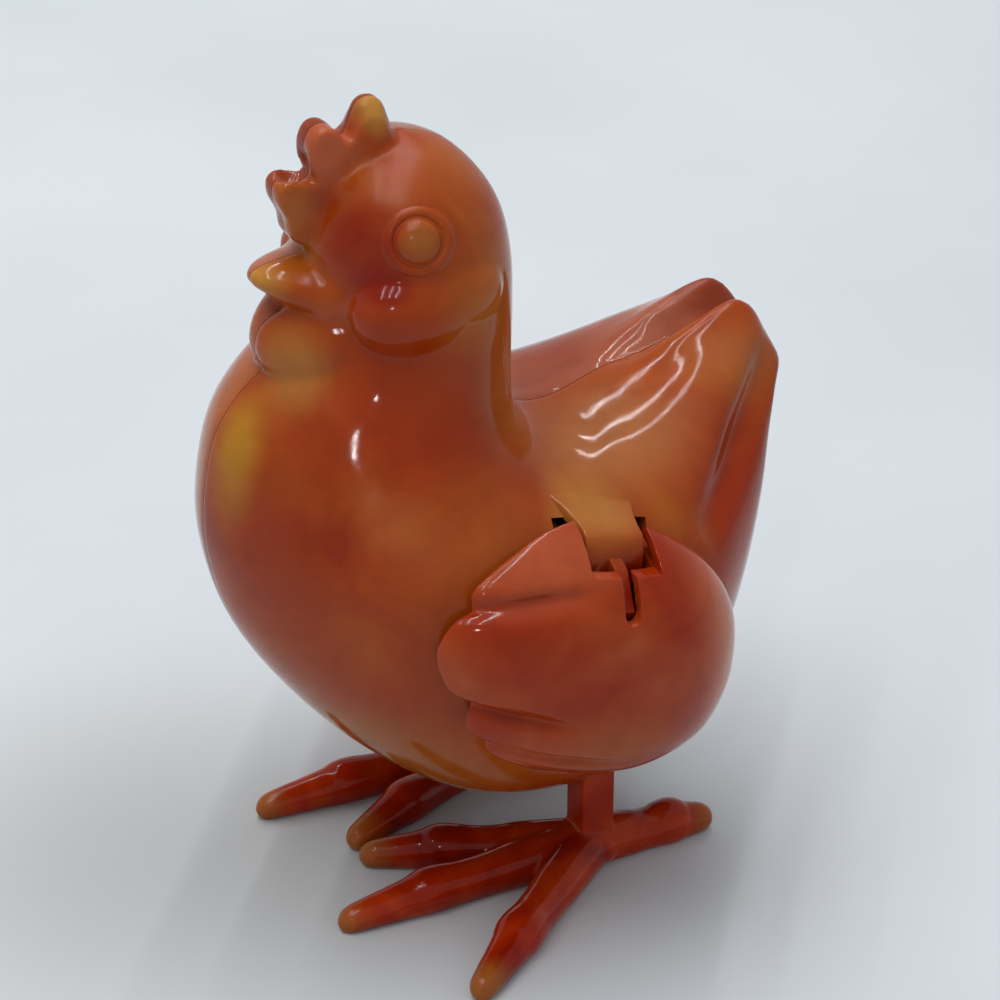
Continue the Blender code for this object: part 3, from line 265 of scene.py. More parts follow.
# Inside the body: guides round the shanks, the vent, eggs and spring
GAP = 0.3
SLEEVE_FOOT = 2.0
SLEEVE_TOP = 17.5
SLEEVE_WALL = 1.5
SHANK_HOLE_FOOT = -2.0
SHANK_HOLE_PAST = 6.0
CHUTE_Y = 12.0
VENT_RADIUS = 5.2
VENT_FOOT = 2.0
VENT_TOP = 23.6
EGGS = 5
EGG_TAPER = 0.10
SPRING_WIRE = 0.35
SPRING_TURNS = 5
SPRING_STEPS = 40
SPRING_SIDES = 14
SPRING_CLOSE = 0.05

# Lamps, in metres: three long tubes overhead and a short one far ahead of the toy, as places
# sideways of it and along the tubes
TUBE_HEIGHT = 0.8
TUBE_TURN = -36.9
TUBE_SIDEWAYS = (-0.34, -0.15, 0.0)
TUBE_MIDDLE = -0.1
TUBE_SIZE = (1.15, 0.012)
TUBE_POWER = 2.0
FAR_TUBE = (0.05, 1.15, (0.12, 0.05), 1.4)

# Floor, and the painted shadow ahead of the toy: a darker patch, with the run over which it fades
FLOOR_HALF = 1500.0
FLOOR_CELLS = 8
FLOOR_CLOUDS = 0.012
FLOOR_TINTS = [(0.35, (0.56, 0.60, 0.63)), (0.65, (0.60, 0.64, 0.67))]
FLOOR_ROUGHNESS = 0.55
FLOOR_GLOSS = 0.25
FLOOR_SHADE = (0.41, 0.425, 0.43)
FLOOR_SHADE_AT = (-10.0, -46.0, 0.0)
FLOOR_SHADE_RUN = (2.0, 58.0)

# The room's light, from straight below to straight above
WORLD_RISE = [
    (0.00, (0.56, 0.56, 0.57)), (0.30, (0.46, 0.465, 0.475)), (0.80, (0.50, 0.51, 0.52)),
    (1.00, (0.78, 0.795, 0.81)),
]

# The camera, in millimetres from the layout's middle
CAMERA_AZIMUTH = 64.37
CAMERA_ELEVATION = 29.43
CAMERA_DISTANCE = 392.0
CAMERA_SIDE = -5.365
CAMERA_RISE = 36.77
CAMERA_LENS = 117.18
SENSOR = 36.0

# Plastic: gloss, glow under the skin, the warp that draws the streams out, how much they stir a
# spot's edge, where spots and dull regions end, and the faint wisps over it all
PLASTIC_IOR = 1.5
PLASTIC_GLOSS = 0.20
GLOW_RADIUS = (1.0, 0.35, 0.12)
GLOW_SCALE = 0.0015
STREAM_WARP = 26.0
SPOT_STIR = 1.3
SPOT_EDGE = (0.85, 1.85)
DULL_EDGE = (0.6, 1.4)
WISP_SHARE = 0.22
WISPS = [(0.30, (0.62, 0.52, 0.45)), (0.50, (1.0, 1.0, 1.0)), (0.72, (1.25, 1.35, 1.4))]

# Colours in linear light: first as (place along the streams, colour), then those of the spots
ORANGE_STREAMS = [
    (0.34, (0.24, 0.022, 0.0018)), (0.47, (0.29, 0.036, 0.0028)), (0.60, (0.32, 0.054, 0.0048)),
    (0.70, (0.34, 0.080, 0.0085)),
]
PINK_STREAMS = [
    (0.34, (0.20, 0.024, 0.0050)), (0.46, (0.27, 0.050, 0.018)), (0.58, (0.32, 0.085, 0.042)),
    (0.70, (0.36, 0.120, 0.070)),
]
WING_STREAMS = [
    (0.34, (0.25, 0.016, 0.0010)), (0.47, (0.29, 0.028, 0.0030)), (0.60, (0.33, 0.046, 0.0085)),
    (0.72, (0.37, 0.075, 0.022)),
]
LEG_STREAMS = [
    (0.34, (0.21, 0.007, 0.0005)), (0.50, (0.30, 0.014, 0.0008)), (0.66, (0.38, 0.032, 0.0025)),
]
TAN_STREAMS = [
    (0.35, (0.42, 0.19, 0.055)), (0.50, (0.52, 0.27, 0.090)), (0.68, (0.60, 0.35, 0.140)),
]

# DARK_RED is also painted shade, in the crease between cheek and beak and on the strap's lower end
# inside the wing's notch
DARK_RED = (0.21, 0.009, 0.0006)
FLAME = (0.31, 0.023, 0.0014)
TAN = (0.36, 0.095, 0.014)
SADDLE = (0.34, 0.115, 0.032)
BUFF = (0.38, 0.140, 0.024)
YELLOW = (0.42, 0.190, 0.012)
GOLD = (0.44, 0.200, 0.034)
ROSE = (0.42, 0.092, 0.032)
OLIVE = (0.32, 0.086, 0.010)
OCHRE = (0.30, 0.090, 0.014)


def place_in_frame(mesh):
    """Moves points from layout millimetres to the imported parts' frame in metres."""
    mesh.transform(Matrix.Translation((0, ORIGIN_AHEAD * MM, 0)) @ Matrix.Scale(MM, 4))


def mesh_object(name, bm):
    mesh = bpy.data.meshes.new(name)
    bm.to_mesh(mesh)
    bm.free()
    place_in_frame(mesh)
    item = bpy.data.objects.new(name, mesh)
    bpy.context.scene.collection.objects.link(item)
    return item


def settle(item):
    """Applies the object's modifiers to its mesh."""
    bpy.context.view_layer.update()
    graph = bpy.context.evaluated_depsgraph_get()
    mesh = bpy.data.meshes.new_from_object(item.evaluated_get(graph))
    item.modifiers.clear()
    item.data = mesh
    return item


def mirror(item):
    """Turns a form into its mirror image on the hen's other side."""
    item.data.transform(Matrix.Scale(-1.0, 4, (1, 0, 0)))
    item.data.flip_normals()


def copy_of(item, name):
    twin = bpy.data.objects.new(name, item.data.copy())
    bpy.context.scene.collection.objects.link(twin)
    return twin


def boolean(item, tool, operation="DIFFERENCE"):
    """Cuts the tool from the item, or joins the two, and removes the tool."""
    modifier = item.modifiers.new(tool.name, "BOOLEAN")
    modifier.operation = operation
    modifier.solver = "MANIFOLD"
    modifier.object = tool
    settle(item)
    bpy.data.objects.remove(tool, do_unlink=True)
    return item


def moulded(item, mould):
    """Melts overlapping forms into one skin of small even faces, and softens the creases."""
    voxel, rounds = mould
    melt = item.modifiers.new("melt", "REMESH")
    melt.mode = "VOXEL"
    melt.voxel_size = voxel * MM
    soften = item.modifiers.new("soften", "SMOOTH")
    soften.factor = 0.5
    soften.iterations = rounds
    return settle(item)


def merged(name, items):
    """One object with the points and faces of several, which are removed."""
    bm = bmesh.new()
    for item in items:
        bm.from_mesh(item.data)
        bpy.data.objects.remove(item, do_unlink=True)
    mesh = bpy.data.meshes.new(name)
    bm.to_mesh(mesh)
    bm.free()
    joined = bpy.data.objects.new(name, mesh)
    bpy.context.scene.collection.objects.link(joined)
    return joined


def through(rows, count):
    """A smooth curve through rows of numbers, read at evenly spaced places along it."""
    rows = np.array(rows, float)
    ends = np.vstack([2 * rows[0] - rows[1], rows, 2 * rows[-1] - rows[-2]])
    found = []
    for place in np.linspace(0, len(rows) - 1, count):
        first = min(int(place), len(rows) - 2)
        found.append(between(*ends[first : first + 4], place - first))
    return np.array(found)


def round_through(rows, count):
    """A smooth closed curve through rows of numbers."""
    rows = np.array(rows, float)
    found = []
    for place in np.linspace(0, len(rows), count, endpoint=False):
        first = int(place)
        near = [rows[(first + step) % len(rows)] for step in (-1, 0, 1, 2)]
        found.append(between(*near, place - first))
    return np.array(found)


def between(before, start, end, after, t):
    """Catmull-Rom interpolation from start to end."""
    bend = 2 * before - 5 * start + 4 * end - after
    twist = 3 * start - before - 3 * end + after
    return 0.5 * (2 * start + (end - before) * t + bend * t**2 + twist * t**3)


def tail_fold(y, z):
    """How far the flank is drawn in at (y, z) by the fold down the tail's side."""
    run = np.subtract(FOLD_FOOT, FOLD_TOP)
    length = math.hypot(*run)
    along = ((y - FOLD_TOP[0]) * run[0] + (z - FOLD_TOP[1]) * run[1]) / length
    across = ((z - FOLD_TOP[1]) * run[0] - (y - FOLD_TOP[0]) * run[1]) / length
    share = (along + FOLD_RUN_ON) / (length + 2 * FOLD_RUN_ON)
    fade = max(0.0, math.sin(math.pi * min(max(share, 0.0), 1.0))) ** 0.5
    return FOLD_DEPTH * fade * math.exp(-(((across - FOLD_SETBACK) / FOLD_HALF_WIDTH) ** 2))


def half_section(station, count, ridged):
    """Points (x, y, z) of one half section, from the front seam round the left side to the back.

    A ridged section has the ridges on the tail's top; the hollow inside the wall has none."""
    front, back = np.array(station[0:2]), np.array(station[2:4])
    half_width, share, valley, lower, upper = station[4:9]
    half_width = max(half_width, 0.0)
    middle = front + share * (back - front)
    length = max(np.linalg.norm(back - front), 1e-6)
    points = []
    for turn in np.linspace(0.0, math.pi, count):
        full = lower if turn < math.pi / 2 else upper
        reach = abs(math.cos(turn)) ** (2 / full)
        x = half_width * max(math.sin(turn), 0.0) ** (2 / full)
        end = front if turn < math.pi / 2 else back
        y, z = middle + reach * (end - middle)
        if turn > math.pi / 2:
            wide = np.interp(y, VALLEY_PLACES, VALLEY_HALF_WIDTHS)
            sunk = valley * reach * math.exp(-((x / wide) ** 2))
            if ridged:
                rise = np.interp(y, RIDGE_PLACES, RIDGE_RISES)
                sunk -= rise * reach * math.exp(-(((x - RIDGE_AT) / RIDGE_HALF_WIDTH) ** 2))
            y, z = np.array([y, z]) - sunk * (back - front) / length
        x = max(x - tail_fold(y, z) * min(x / FOLD_START_X, 1.0), 0.0)
        points.append((x, y, z))
    return points


def body_rows(detail, ridged=False):
    """Half sections from crown to tail tip. detail is rows per station and points per row."""
    flat = [(*front, *back, *rest) for front, back, *rest in STATIONS]
    count = detail[0] * (len(flat) - 1) + 1
    return [half_section(station, detail[1], ridged) for station in through(flat, count)]


def body_form(name, rows, inset=0.0):
    """The whole body as one closed form, drawn in by inset."""
    bm = bmesh.new()
    used = rows[1:-TIP_ROWS] if inset else rows
    rings = [[*row, *[(-x, y, z) for x, y, z in row[-2:0:-1]]] for row in used]
    grid = [[bm.verts.new(point) for point in ring] for ring in rings]
    width = len(grid[0])
    for near, far in zip(grid, grid[1:]):
        for place in range(width):
            step = (place + 1) % width
            bm.faces.new((near[place], far[place], far[step], near[step]))
    bmesh.ops.remove_doubles(bm, verts=bm.verts, dist=0.001)
    bmesh.ops.holes_fill(bm, edges=bm.edges)
    bmesh.ops.recalc_face_normals(bm, faces=bm.faces)
    if bm.calc_volume(signed=True) < 0:
        bmesh.ops.reverse_faces(bm, faces=bm.faces)
    bm.normal_update()
    moved = [vert.co - vert.normal * inset for vert in bm.verts]
    for vert, place in zip(bm.verts, moved):
        vert.co = place
    bmesh.ops.triangulate(bm, faces=bm.faces)
    return mesh_object(name, bm)


def ball(name, middle, size, turn_z=0.0):
    """A sphere drawn out to half lengths along X, Y and Z."""
    bm = bmesh.new()
    bmesh.ops.create_uvsphere(bm, u_segments=40, v_segments=24, radius=1.0)
    bmesh.ops.scale(bm, vec=size, verts=bm.verts)
    turn = Matrix.Rotation(math.radians(turn_z), 4, "Z")
    bmesh.ops.transform(bm, matrix=Matrix.Translation(middle) @ turn, verts=bm.verts)
    return mesh_object(name, bm)


def limb(name, knots, flat=1.0, step=0.5):
    """A rounded arm: balls close together along a smooth line of (x, y, z, radius)."""
    rough = np.array(knots, float)
    run = np.linalg.norm(np.diff(rough[:, :3], axis=0), axis=1).sum()
    bm = bmesh.new()
    for x, y, z, radius in through(rough, max(int(run / step), 2)):
        place = Matrix.Translation((x, y, z)) @ Matrix.Diagonal((1.0, 1.0, flat, 1.0))
        bmesh.ops.create_icosphere(bm, subdivisions=3, radius=radius, matrix=place)
    return mesh_object(name, bm)


def box(name, low, high):
    bm = bmesh.new()
    bmesh.ops.create_cube(bm, size=1.0)
    bmesh.ops.scale(bm, vec=np.subtract(high, low), verts=bm.verts)
    bmesh.ops.translate(bm, vec=np.add(high, low) / 2, verts=bm.verts)
    return mesh_object(name, bm)


def rod(name, radius, start, end):
    bm = bmesh.new()
    run = Vector(end) - Vector(start)
    turn = Vector((0, 0, 1)).rotation_difference(run).to_matrix().to_4x4()
    place = Matrix.Translation((Vector(start) + Vector(end)) / 2) @ turn
    bmesh.ops.create_cone(
        bm, cap_ends=True, segments=48, radius1=radius, radius2=radius,
        depth=run.length, matrix=place,
    )
    return mesh_object(name, bm)


def slab(name, outline, low_y, high_y):
    """An outline of (x, z) points drawn out along Y."""
    bm = bmesh.new()
    near = [bm.verts.new((x, low_y, z)) for x, z in outline]
    far = [bm.verts.new((x, high_y, z)) for x, z in outline]
    bm.faces.new(near)
    bm.faces.new(far[::-1])
    for place in range(len(near)):
        step = (place + 1) % len(near)
        bm.faces.new((near[place], far[place], far[step], near[step]))
    bmesh.ops.recalc_face_normals(bm, faces=bm.faces)
    bmesh.ops.triangulate(bm, faces=bm.faces)
    return mesh_object(name, bm)


def arc(middle, radius, start, end, count):
    """Points on a circle between two angles in degrees."""
    turns = np.radians(np.linspace(start, end, count))
    return [(middle[0] + radius * math.cos(t), middle[1] + radius * math.sin(t)) for t in turns]


def side_of(tree, y, z):
    """Where the left side of a form lies at (y, z), as x in millimetres."""
    start = Vector((0.0001, (y + ORIGIN_AHEAD) * MM, z * MM))
    found = tree.ray_cast(start, Vector((-1, 0, 0)))[0]
    if found is None:
        found = tree.ray_cast(start, Vector((1, 0, 0)))[0]
    return 0.0 if found is None else abs(found.x) / MM


def lathe(name, profile, at, normal, steps):
    """A closed profile of (radius, height) turned round a normal at a point."""
    bm = bmesh.new()
    lay = Vector((0, 0, 1)).rotation_difference(Vector(normal)).to_matrix().to_4x4()
    rings = []
    for step in range(steps):
        t = 2 * math.pi * step / steps
        rings.append([
            bm.verts.new((radius * math.cos(t), radius * math.sin(t), height))
            for radius, height in profile
        ])
    count = len(profile)
    for place, ring in enumerate(rings):
        other = rings[(place + 1) % steps]
        for spot in range(count):
            after = (spot + 1) % count
            bm.faces.new((ring[spot], other[spot], other[after], ring[after]))
    bmesh.ops.remove_doubles(bm, verts=bm.verts, dist=1e-4)
    bmesh.ops.dissolve_degenerate(bm, edges=bm.edges, dist=1e-5)
    bmesh.ops.recalc_face_normals(bm, faces=bm.faces)
    bmesh.ops.transform(bm, matrix=Matrix.Translation(at) @ lay, verts=bm.verts)
    return mesh_object(name, bm)


def eye(tree, side):
    """The domed eye and the low ring round it, turned in one form that lies along the head."""
    y, z = EYE_AT
    at = Vector((side * side_of(tree, y, z), y, z))
    slope_y = side_of(tree, y + EYE_REACH, z) - side_of(tree, y - EYE_REACH, z)
    slope_z = side_of(tree, y, z + EYE_REACH) - side_of(tree, y, z - EYE_REACH)
    normal = Vector((side * 2 * EYE_REACH, -slope_y, -slope_z)).normalized()
    radii, heights = through(EYE_PROFILE, 60).T
    profile = [(r, h - r * r / HEAD_CURVE) for r, h in zip(radii, heights)]
    profile[0] = (0.0, profile[0][1])
    profile += [(radii[-1], EYE_FOOT), (0.0, EYE_FOOT)]
    return lathe(f"eye_{side}", profile, at, normal, EYE_STEPS)


def comb():
    """The comb's blade with its edges rounded, its crest's cone, and the dish in its front lobe."""
    blade = slab("comb", round_through(COMB_OUTLINE, 132), -COMB_HALF_THICK, COMB_HALF_THICK)
    blade.data.transform(Matrix(((0, 1, 0, 0), (1, 0, 0, 0), (0, 0, 1, 0), (0, 0, 0, 1))))
    ahead = ORIGIN_AHEAD * MM
    blade.data.transform(Matrix.Translation((-ahead, ahead, 0)))
    blade.data.flip_normals()
    moulded(blade, COMB_MOULD)
    dish = ball("dish", COMB_DISH[:3], [COMB_DISH[3]] * 3)
    return [boolean(blade, dish), limb("crest", CREST_CONE)]


def outer_skin():
    """The body and the head's details melted into one skin."""
    forms = [body_form("body", body_rows(OUTSIDE_DETAIL, ridged=True))]
    for side in (1, -1):
        for at, size in CHEEKS:
            forms.append(ball("cheek", (side * at[0], *at[1:]), size))
        forms.append(ball("jaw", (side * JAW_AT[0], *JAW_AT[1:]), JAW_SIZE))
        wattle = (side * WATTLE_AT[0], *WATTLE_AT[1:])
        forms.append(ball("wattle", wattle, WATTLE_SIZE, turn_z=-side * WATTLE_TOE_IN))
    forms.append(limb("beak", BEAK_LINE, flat=BEAK_FLAT))
    forms += comb()
    skin = moulded(merged("skin", forms), BODY_MOULD)
    groove_seam(skin)
    return skin


def groove_seam(skin):
    """Sinks the skin a little along the seam, so that the halves meet in a fine V."""
    mesh = skin.data
    places = np.empty(len(mesh.vertices) * 3)
    mesh.vertices.foreach_get("co", places)
    places = places.reshape(-1, 3)
    normals = np.array([vert.normal for vert in mesh.vertices])
    dip = SEAM_DIP * MM * np.exp(-((places[:, 0] / (SEAM_DIP_WIDE * MM)) ** 2))
    mesh.vertices.foreach_set("co", (places - normals * dip[:, None]).ravel())
    mesh.update()


def tilted(item):
    """Turns a form of the hinge with its pin."""
    middle = Matrix.Translation((0, (HINGE_Y + ORIGIN_AHEAD) * MM, HINGE_Z * MM))
    turn = Matrix.Rotation(-math.radians(HINGE_TILT), 4, "X")
    item.data.transform(middle @ turn @ middle.inverted())
    return item


def tilted_place(y, z):
    """Where a place (y, z) of the level hinge layout lies on the hen."""
    turn = math.radians(HINGE_TILT)
    ahead, rise = y - HINGE_Y, z - HINGE_Z
    new_y = HINGE_Y + ahead * math.cos(turn) + rise * math.sin(turn)
    return new_y, HINGE_Z - ahead * math.sin(turn) + rise * math.cos(turn)


def hinge_hole(name):
    reach = WINDOW_HALF_WIDTH + CUT_PAST
    start, end = (HINGE_X, HINGE_Y - reach, HINGE_Z), (HINGE_X, HINGE_Y + reach, HINGE_Z)
    return tilted(rod(name, HINGE_HOLE, start, end))


def strap():
    """The strap that bends down over the hinge, its web, and the pin's hole."""
    outline = [*through(STRAP_OUTSIDE, 26), *through(STRAP_INSIDE, 26)]
    lug = slab("strap", outline, HINGE_Y - STRAP_HALF_WIDTH, HINGE_Y + STRAP_HALF_WIDTH)
    middle = (HINGE_Y + ORIGIN_AHEAD) * MM
    widen = STRAP_ROOT_HALF_WIDTH / STRAP_HALF_WIDTH - 1
    for vert in lug.data.vertices:
        share = (STRAP_BEND_X - vert.co.x / MM) / (STRAP_BEND_X - STRAP_ROOT_X)
        vert.co.y = middle + (vert.co.y - middle) * (1 + widen * min(max(share, 0.0), 1.0) ** 2)
    edges = lug.modifiers.new("edges", "BEVEL")
    edges.width = STRAP_EDGE * MM
    edges.segments = 3
    edges.angle_limit = math.radians(STRAP_SHARP_ANGLE)
    settle(lug)
    hinge = (HINGE_X, HINGE_Z)
    rib = WEB_TOP + arc(hinge, WEB_REACH, *WEB_FRONT_TURNS, 8)
    rib += arc(hinge, HINGE_HUB, *WEB_HUB_TURNS, 20)
    web = slab("web", rib, HINGE_Y - WEB_THICK / 2, HINGE_Y + WEB_THICK / 2)
    boolean(lug, web, "UNION")
    return boolean(tilted(lug), hinge_hole("strap_hole"))


def sleeve():
    """Guide round the shank inside the body, trimmed by the middle of the wall."""
    half_x = SHANK_WIDE / 2 + GAP + SLEEVE_WALL
    low = (SHANK_X - half_x, -half_x, SLEEVE_FOOT)
    high = (SHANK_X + half_x, half_x, SLEEVE_TOP)
    return box("sleeve", low, high)


def body_half(skin, side, name):
    """One shell of the body: hollow, cut at the seam, with its window, strap and guide."""
    half = copy_of(skin, name)
    if side < 0:
        mirror(half)
    inner = body_rows(INSIDE_DETAIL)
    boolean(half, body_form("hollow", inner, WALL))
    low = (HINGE_X - WINDOW_INWARD, HINGE_Y - WINDOW_HALF_WIDTH, WINDOW_FOOT)
    high = (WING_TOP_X, HINGE_Y + WINDOW_HALF_WIDTH, WINDOW_TOP)
    boolean(half, tilted(box("window", low, high)))
    boolean(half, strap(), "UNION")
    guide = boolean(sleeve(), body_form("mid_wall", inner, WALL / 2), "INTERSECT")
    boolean(half, guide, "UNION")
    reach = SHANK_WIDE / 2 + GAP
    low = (SHANK_X - reach, -reach, SHANK_HOLE_FOOT)
    high = (SHANK_X + reach, reach, SLEEVE_TOP + SHANK_HOLE_PAST)
    boolean(half, box("shank_hole", low, high))
    boolean(half, rod("vent", VENT_RADIUS, (0, CHUTE_Y, VENT_FOOT), (0, CHUTE_Y, VENT_TOP)))
    boolean(half, box("seam", *SEAM_CUT))
    if side < 0:
        mirror(half)
    return half


def groove(y, z, line):
    """How deep the groove along a feather line is at (y, z)."""
    start, end, depth, half_width = line
    run = np.subtract(end, start)
    length = math.hypot(*run)
    along = ((y - start[0]) * run[0] + (z - start[1]) * run[1]) / length**2
    across = ((z - start[1]) * run[0] - (y - start[0]) * run[1]) / length
    fade = min(max((FEATHER_GONE - along) / FEATHER_FADE, 0.0), 1.0)
    return depth * fade * math.exp(-((abs(across) / half_width) ** FEATHER_POWER))


def wing_point(spoke, share):
    """A point of the wing's outer skin: share is 0 at its middle and 1 at its rim."""
    y = WING_MIDDLE[0] + share * (spoke[0] - WING_MIDDLE[0])
    z = WING_MIDDLE[1] + share * (spoke[1] - WING_MIDDLE[1])
    drop = 1 - (1 - share**WING_FULLNESS) ** WING_EDGE
    x = WING_TOP_X - (WING_TOP_X - spoke[2]) * drop
    sunk = sum(groove(y, z, line) for line in FEATHER_LINES)
    inward = Vector((WING_MIDDLE[0] - y, WING_MIDDLE[1] - z))
    if share > 0:
        inward.normalize()
    x -= sunk * (1 - share**RIM_SHALLOW_POWER)
    pulled = RIM_PULL * sunk * share**RIM_PULL_POWER
    return (x, y + inward[0] * pulled, z + inward[1] * pulled)


def wing_body(tree):
    """The domed wing as a shell of even thickness, its rim following the side of the body."""
    spokes = []
    for y, z in round_through(WING_OUTLINE, WING_SPOKES):
        inward = (Vector(WING_MIDDLE) - Vector((y, z))).normalized() * WING_WALL
        near = [Vector((y, z)) + inward * step for step in (0, 0.5, 1, 1.5, 2)]
        side = max(side_of(tree, *place) for place in near)
        spokes.append((y, z, max(side + WING_CLEAR, WING_RIM_X)))
    shares = np.linspace(0, 1, WING_RINGS + 1)[1:] ** WING_RING_CROWDING
    bm = bmesh.new()
    middle = bm.verts.new(wing_point(spokes[0], 0.0))
    rings = [[bm.verts.new(wing_point(spoke, share)) for spoke in spokes] for share in shares]
    for place in range(len(spokes)):
        step = (place + 1) % len(spokes)
        bm.faces.new((middle, rings[0][place], rings[0][step]))
        for near, far in zip(rings, rings[1:]):
            bm.faces.new((near[place], far[place], far[step], near[step]))
    bm.normal_update()
    if sum(face.normal.x for face in bm.faces) < 0:
        bmesh.ops.reverse_faces(bm, faces=bm.faces)
    item = mesh_object("wing_body", bm)
    wall = item.modifiers.new("wall", "SOLIDIFY")
    wall.thickness = WING_WALL * MM
    wall.offset = -1.0
    return settle(item)


def wing_ear(tree, y):
    """A hinge ear from the pin to the middle of the wing's wall."""
    high, low = HINGE_Z - EAR_DROP, HINGE_Z - EAR_HUB
    top = side_of(tree, *tilted_place(y, high)) - WING_WALL / 2
    foot = side_of(tree, *tilted_place(y, low)) - WING_WALL / 2
    outline = arc((HINGE_X, HINGE_Z), EAR_HUB, *EAR_HUB_TURNS, 20) + [(foot, low), (top, high)]
    return tilted(slab("ear", outline, y - EAR_THICK / 2, y + EAR_THICK / 2))


def cut_opening(item, trim):
    """Cuts the wing's notch and the slit below it, wider by trim on every side."""
    past = WING_TOP_X + CUT_PAST
    half, foot = NOTCH_HALF_WIDTH + trim, NOTCH_FOOT - 2 * trim
    high = (past, HINGE_Y + half, HINGE_Z + NOTCH_RISE)
    boolean(item, tilted(box("notch", (HINGE_X, HINGE_Y - half, foot), high)))
    radius, middle = SLIT_WIDE / 2 + trim, SLIT_FOOT + SLIT_WIDE / 2
    high = (past, HINGE_Y + radius, NOTCH_FOOT + 1)
    boolean(item, tilted(box("slit", (HINGE_X, HINGE_Y - radius, middle), high)))
    start, end = (HINGE_X, HINGE_Y, middle), (past, HINGE_Y, middle)
    boolean(item, tilted(rod("slit_end", radius, start, end)))


def wing(tree, name):
    """The left wing, its notch and slit cut and all its edges softened as a moulding's are."""
    item = wing_body(tree)
    item.name = name
    bpy.context.view_layer.update()
    own = BVHTree.FromObject(item, bpy.context.evaluated_depsgraph_get())
    ears = [wing_ear(own, HINGE_Y - EAR_AT), wing_ear(own, HINGE_Y + EAR_AT)]
    cut_opening(item, 0.0)
    moulded(item, WING_MOULD)
    cut_opening(item, TRIM)
    for ear in ears:
        boolean(item, ear, "UNION")
    return boolean(item, hinge_hole("wing_hole"))


def leg(name, side, toes):
    """Foot and shank melted into one skin, its sole flat."""
    forms = []
    for number, (length, angle) in enumerate(toes):
        turn = math.radians(angle)
        ahead = (side * math.sin(turn), -math.cos(turn))
        knots = []
        for share, thick in TOE_SHAPE:
            radius = TOE_ROOT_RADIUS * thick
            reach = min(length * share, length - radius)
            place = (side * SHANK_X + ahead[0] * reach, ahead[1] * reach)
            knots.append((*place, TOE_RISE * radius + TOE_LIFT, radius))
        forms.append(limb(f"toe_{number}", knots, step=TOE_STEP))
    half = SHANK_WIDE / 2
    low = (side * SHANK_X - half, -half, SHANK_FOOT)
    high = (side * SHANK_X + half, half, SHANK_TOP)
    forms.append(box("shank", low, high))
    forms.append(ball("ankle", (side * SHANK_X, 0, ANKLE_RISE), ANKLE_SIZE))
    item = moulded(merged(name, forms), LEG_MOULD)
    boolean(item, box("floor_cut", *SOLE_CUT))
    start = (side * SHANK_X, -LEG_PIN_REACH, LEG_PIN_Z)
    end = (side * SHANK_X, LEG_PIN_REACH, LEG_PIN_Z)
    return boolean(item, rod("pin_hole", LEG_PIN_HOLE, start, end))


def finish_piece(item, body, node, material):
    """Gives a piece its material and its place among the CAD's bodies."""
    item.data.materials.clear()
    item.data.materials.append(material)
    item.data.shade_smooth()
    item.data.set_sharp_from_angle(angle=math.radians(SHARP_ANGLE))
    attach(item, body)
    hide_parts(node)


def set_stops(colour_ramp, colours):
    """Fills a colour ramp with (place, colour) stops."""
    stops = colour_ramp.elements
    while len(stops) < len(colours):
        stops.new(0.5)
    for stop, (place, colour) in zip(stops, colours):
        stop.position = place
        stop.color = (*colour, 1.0)


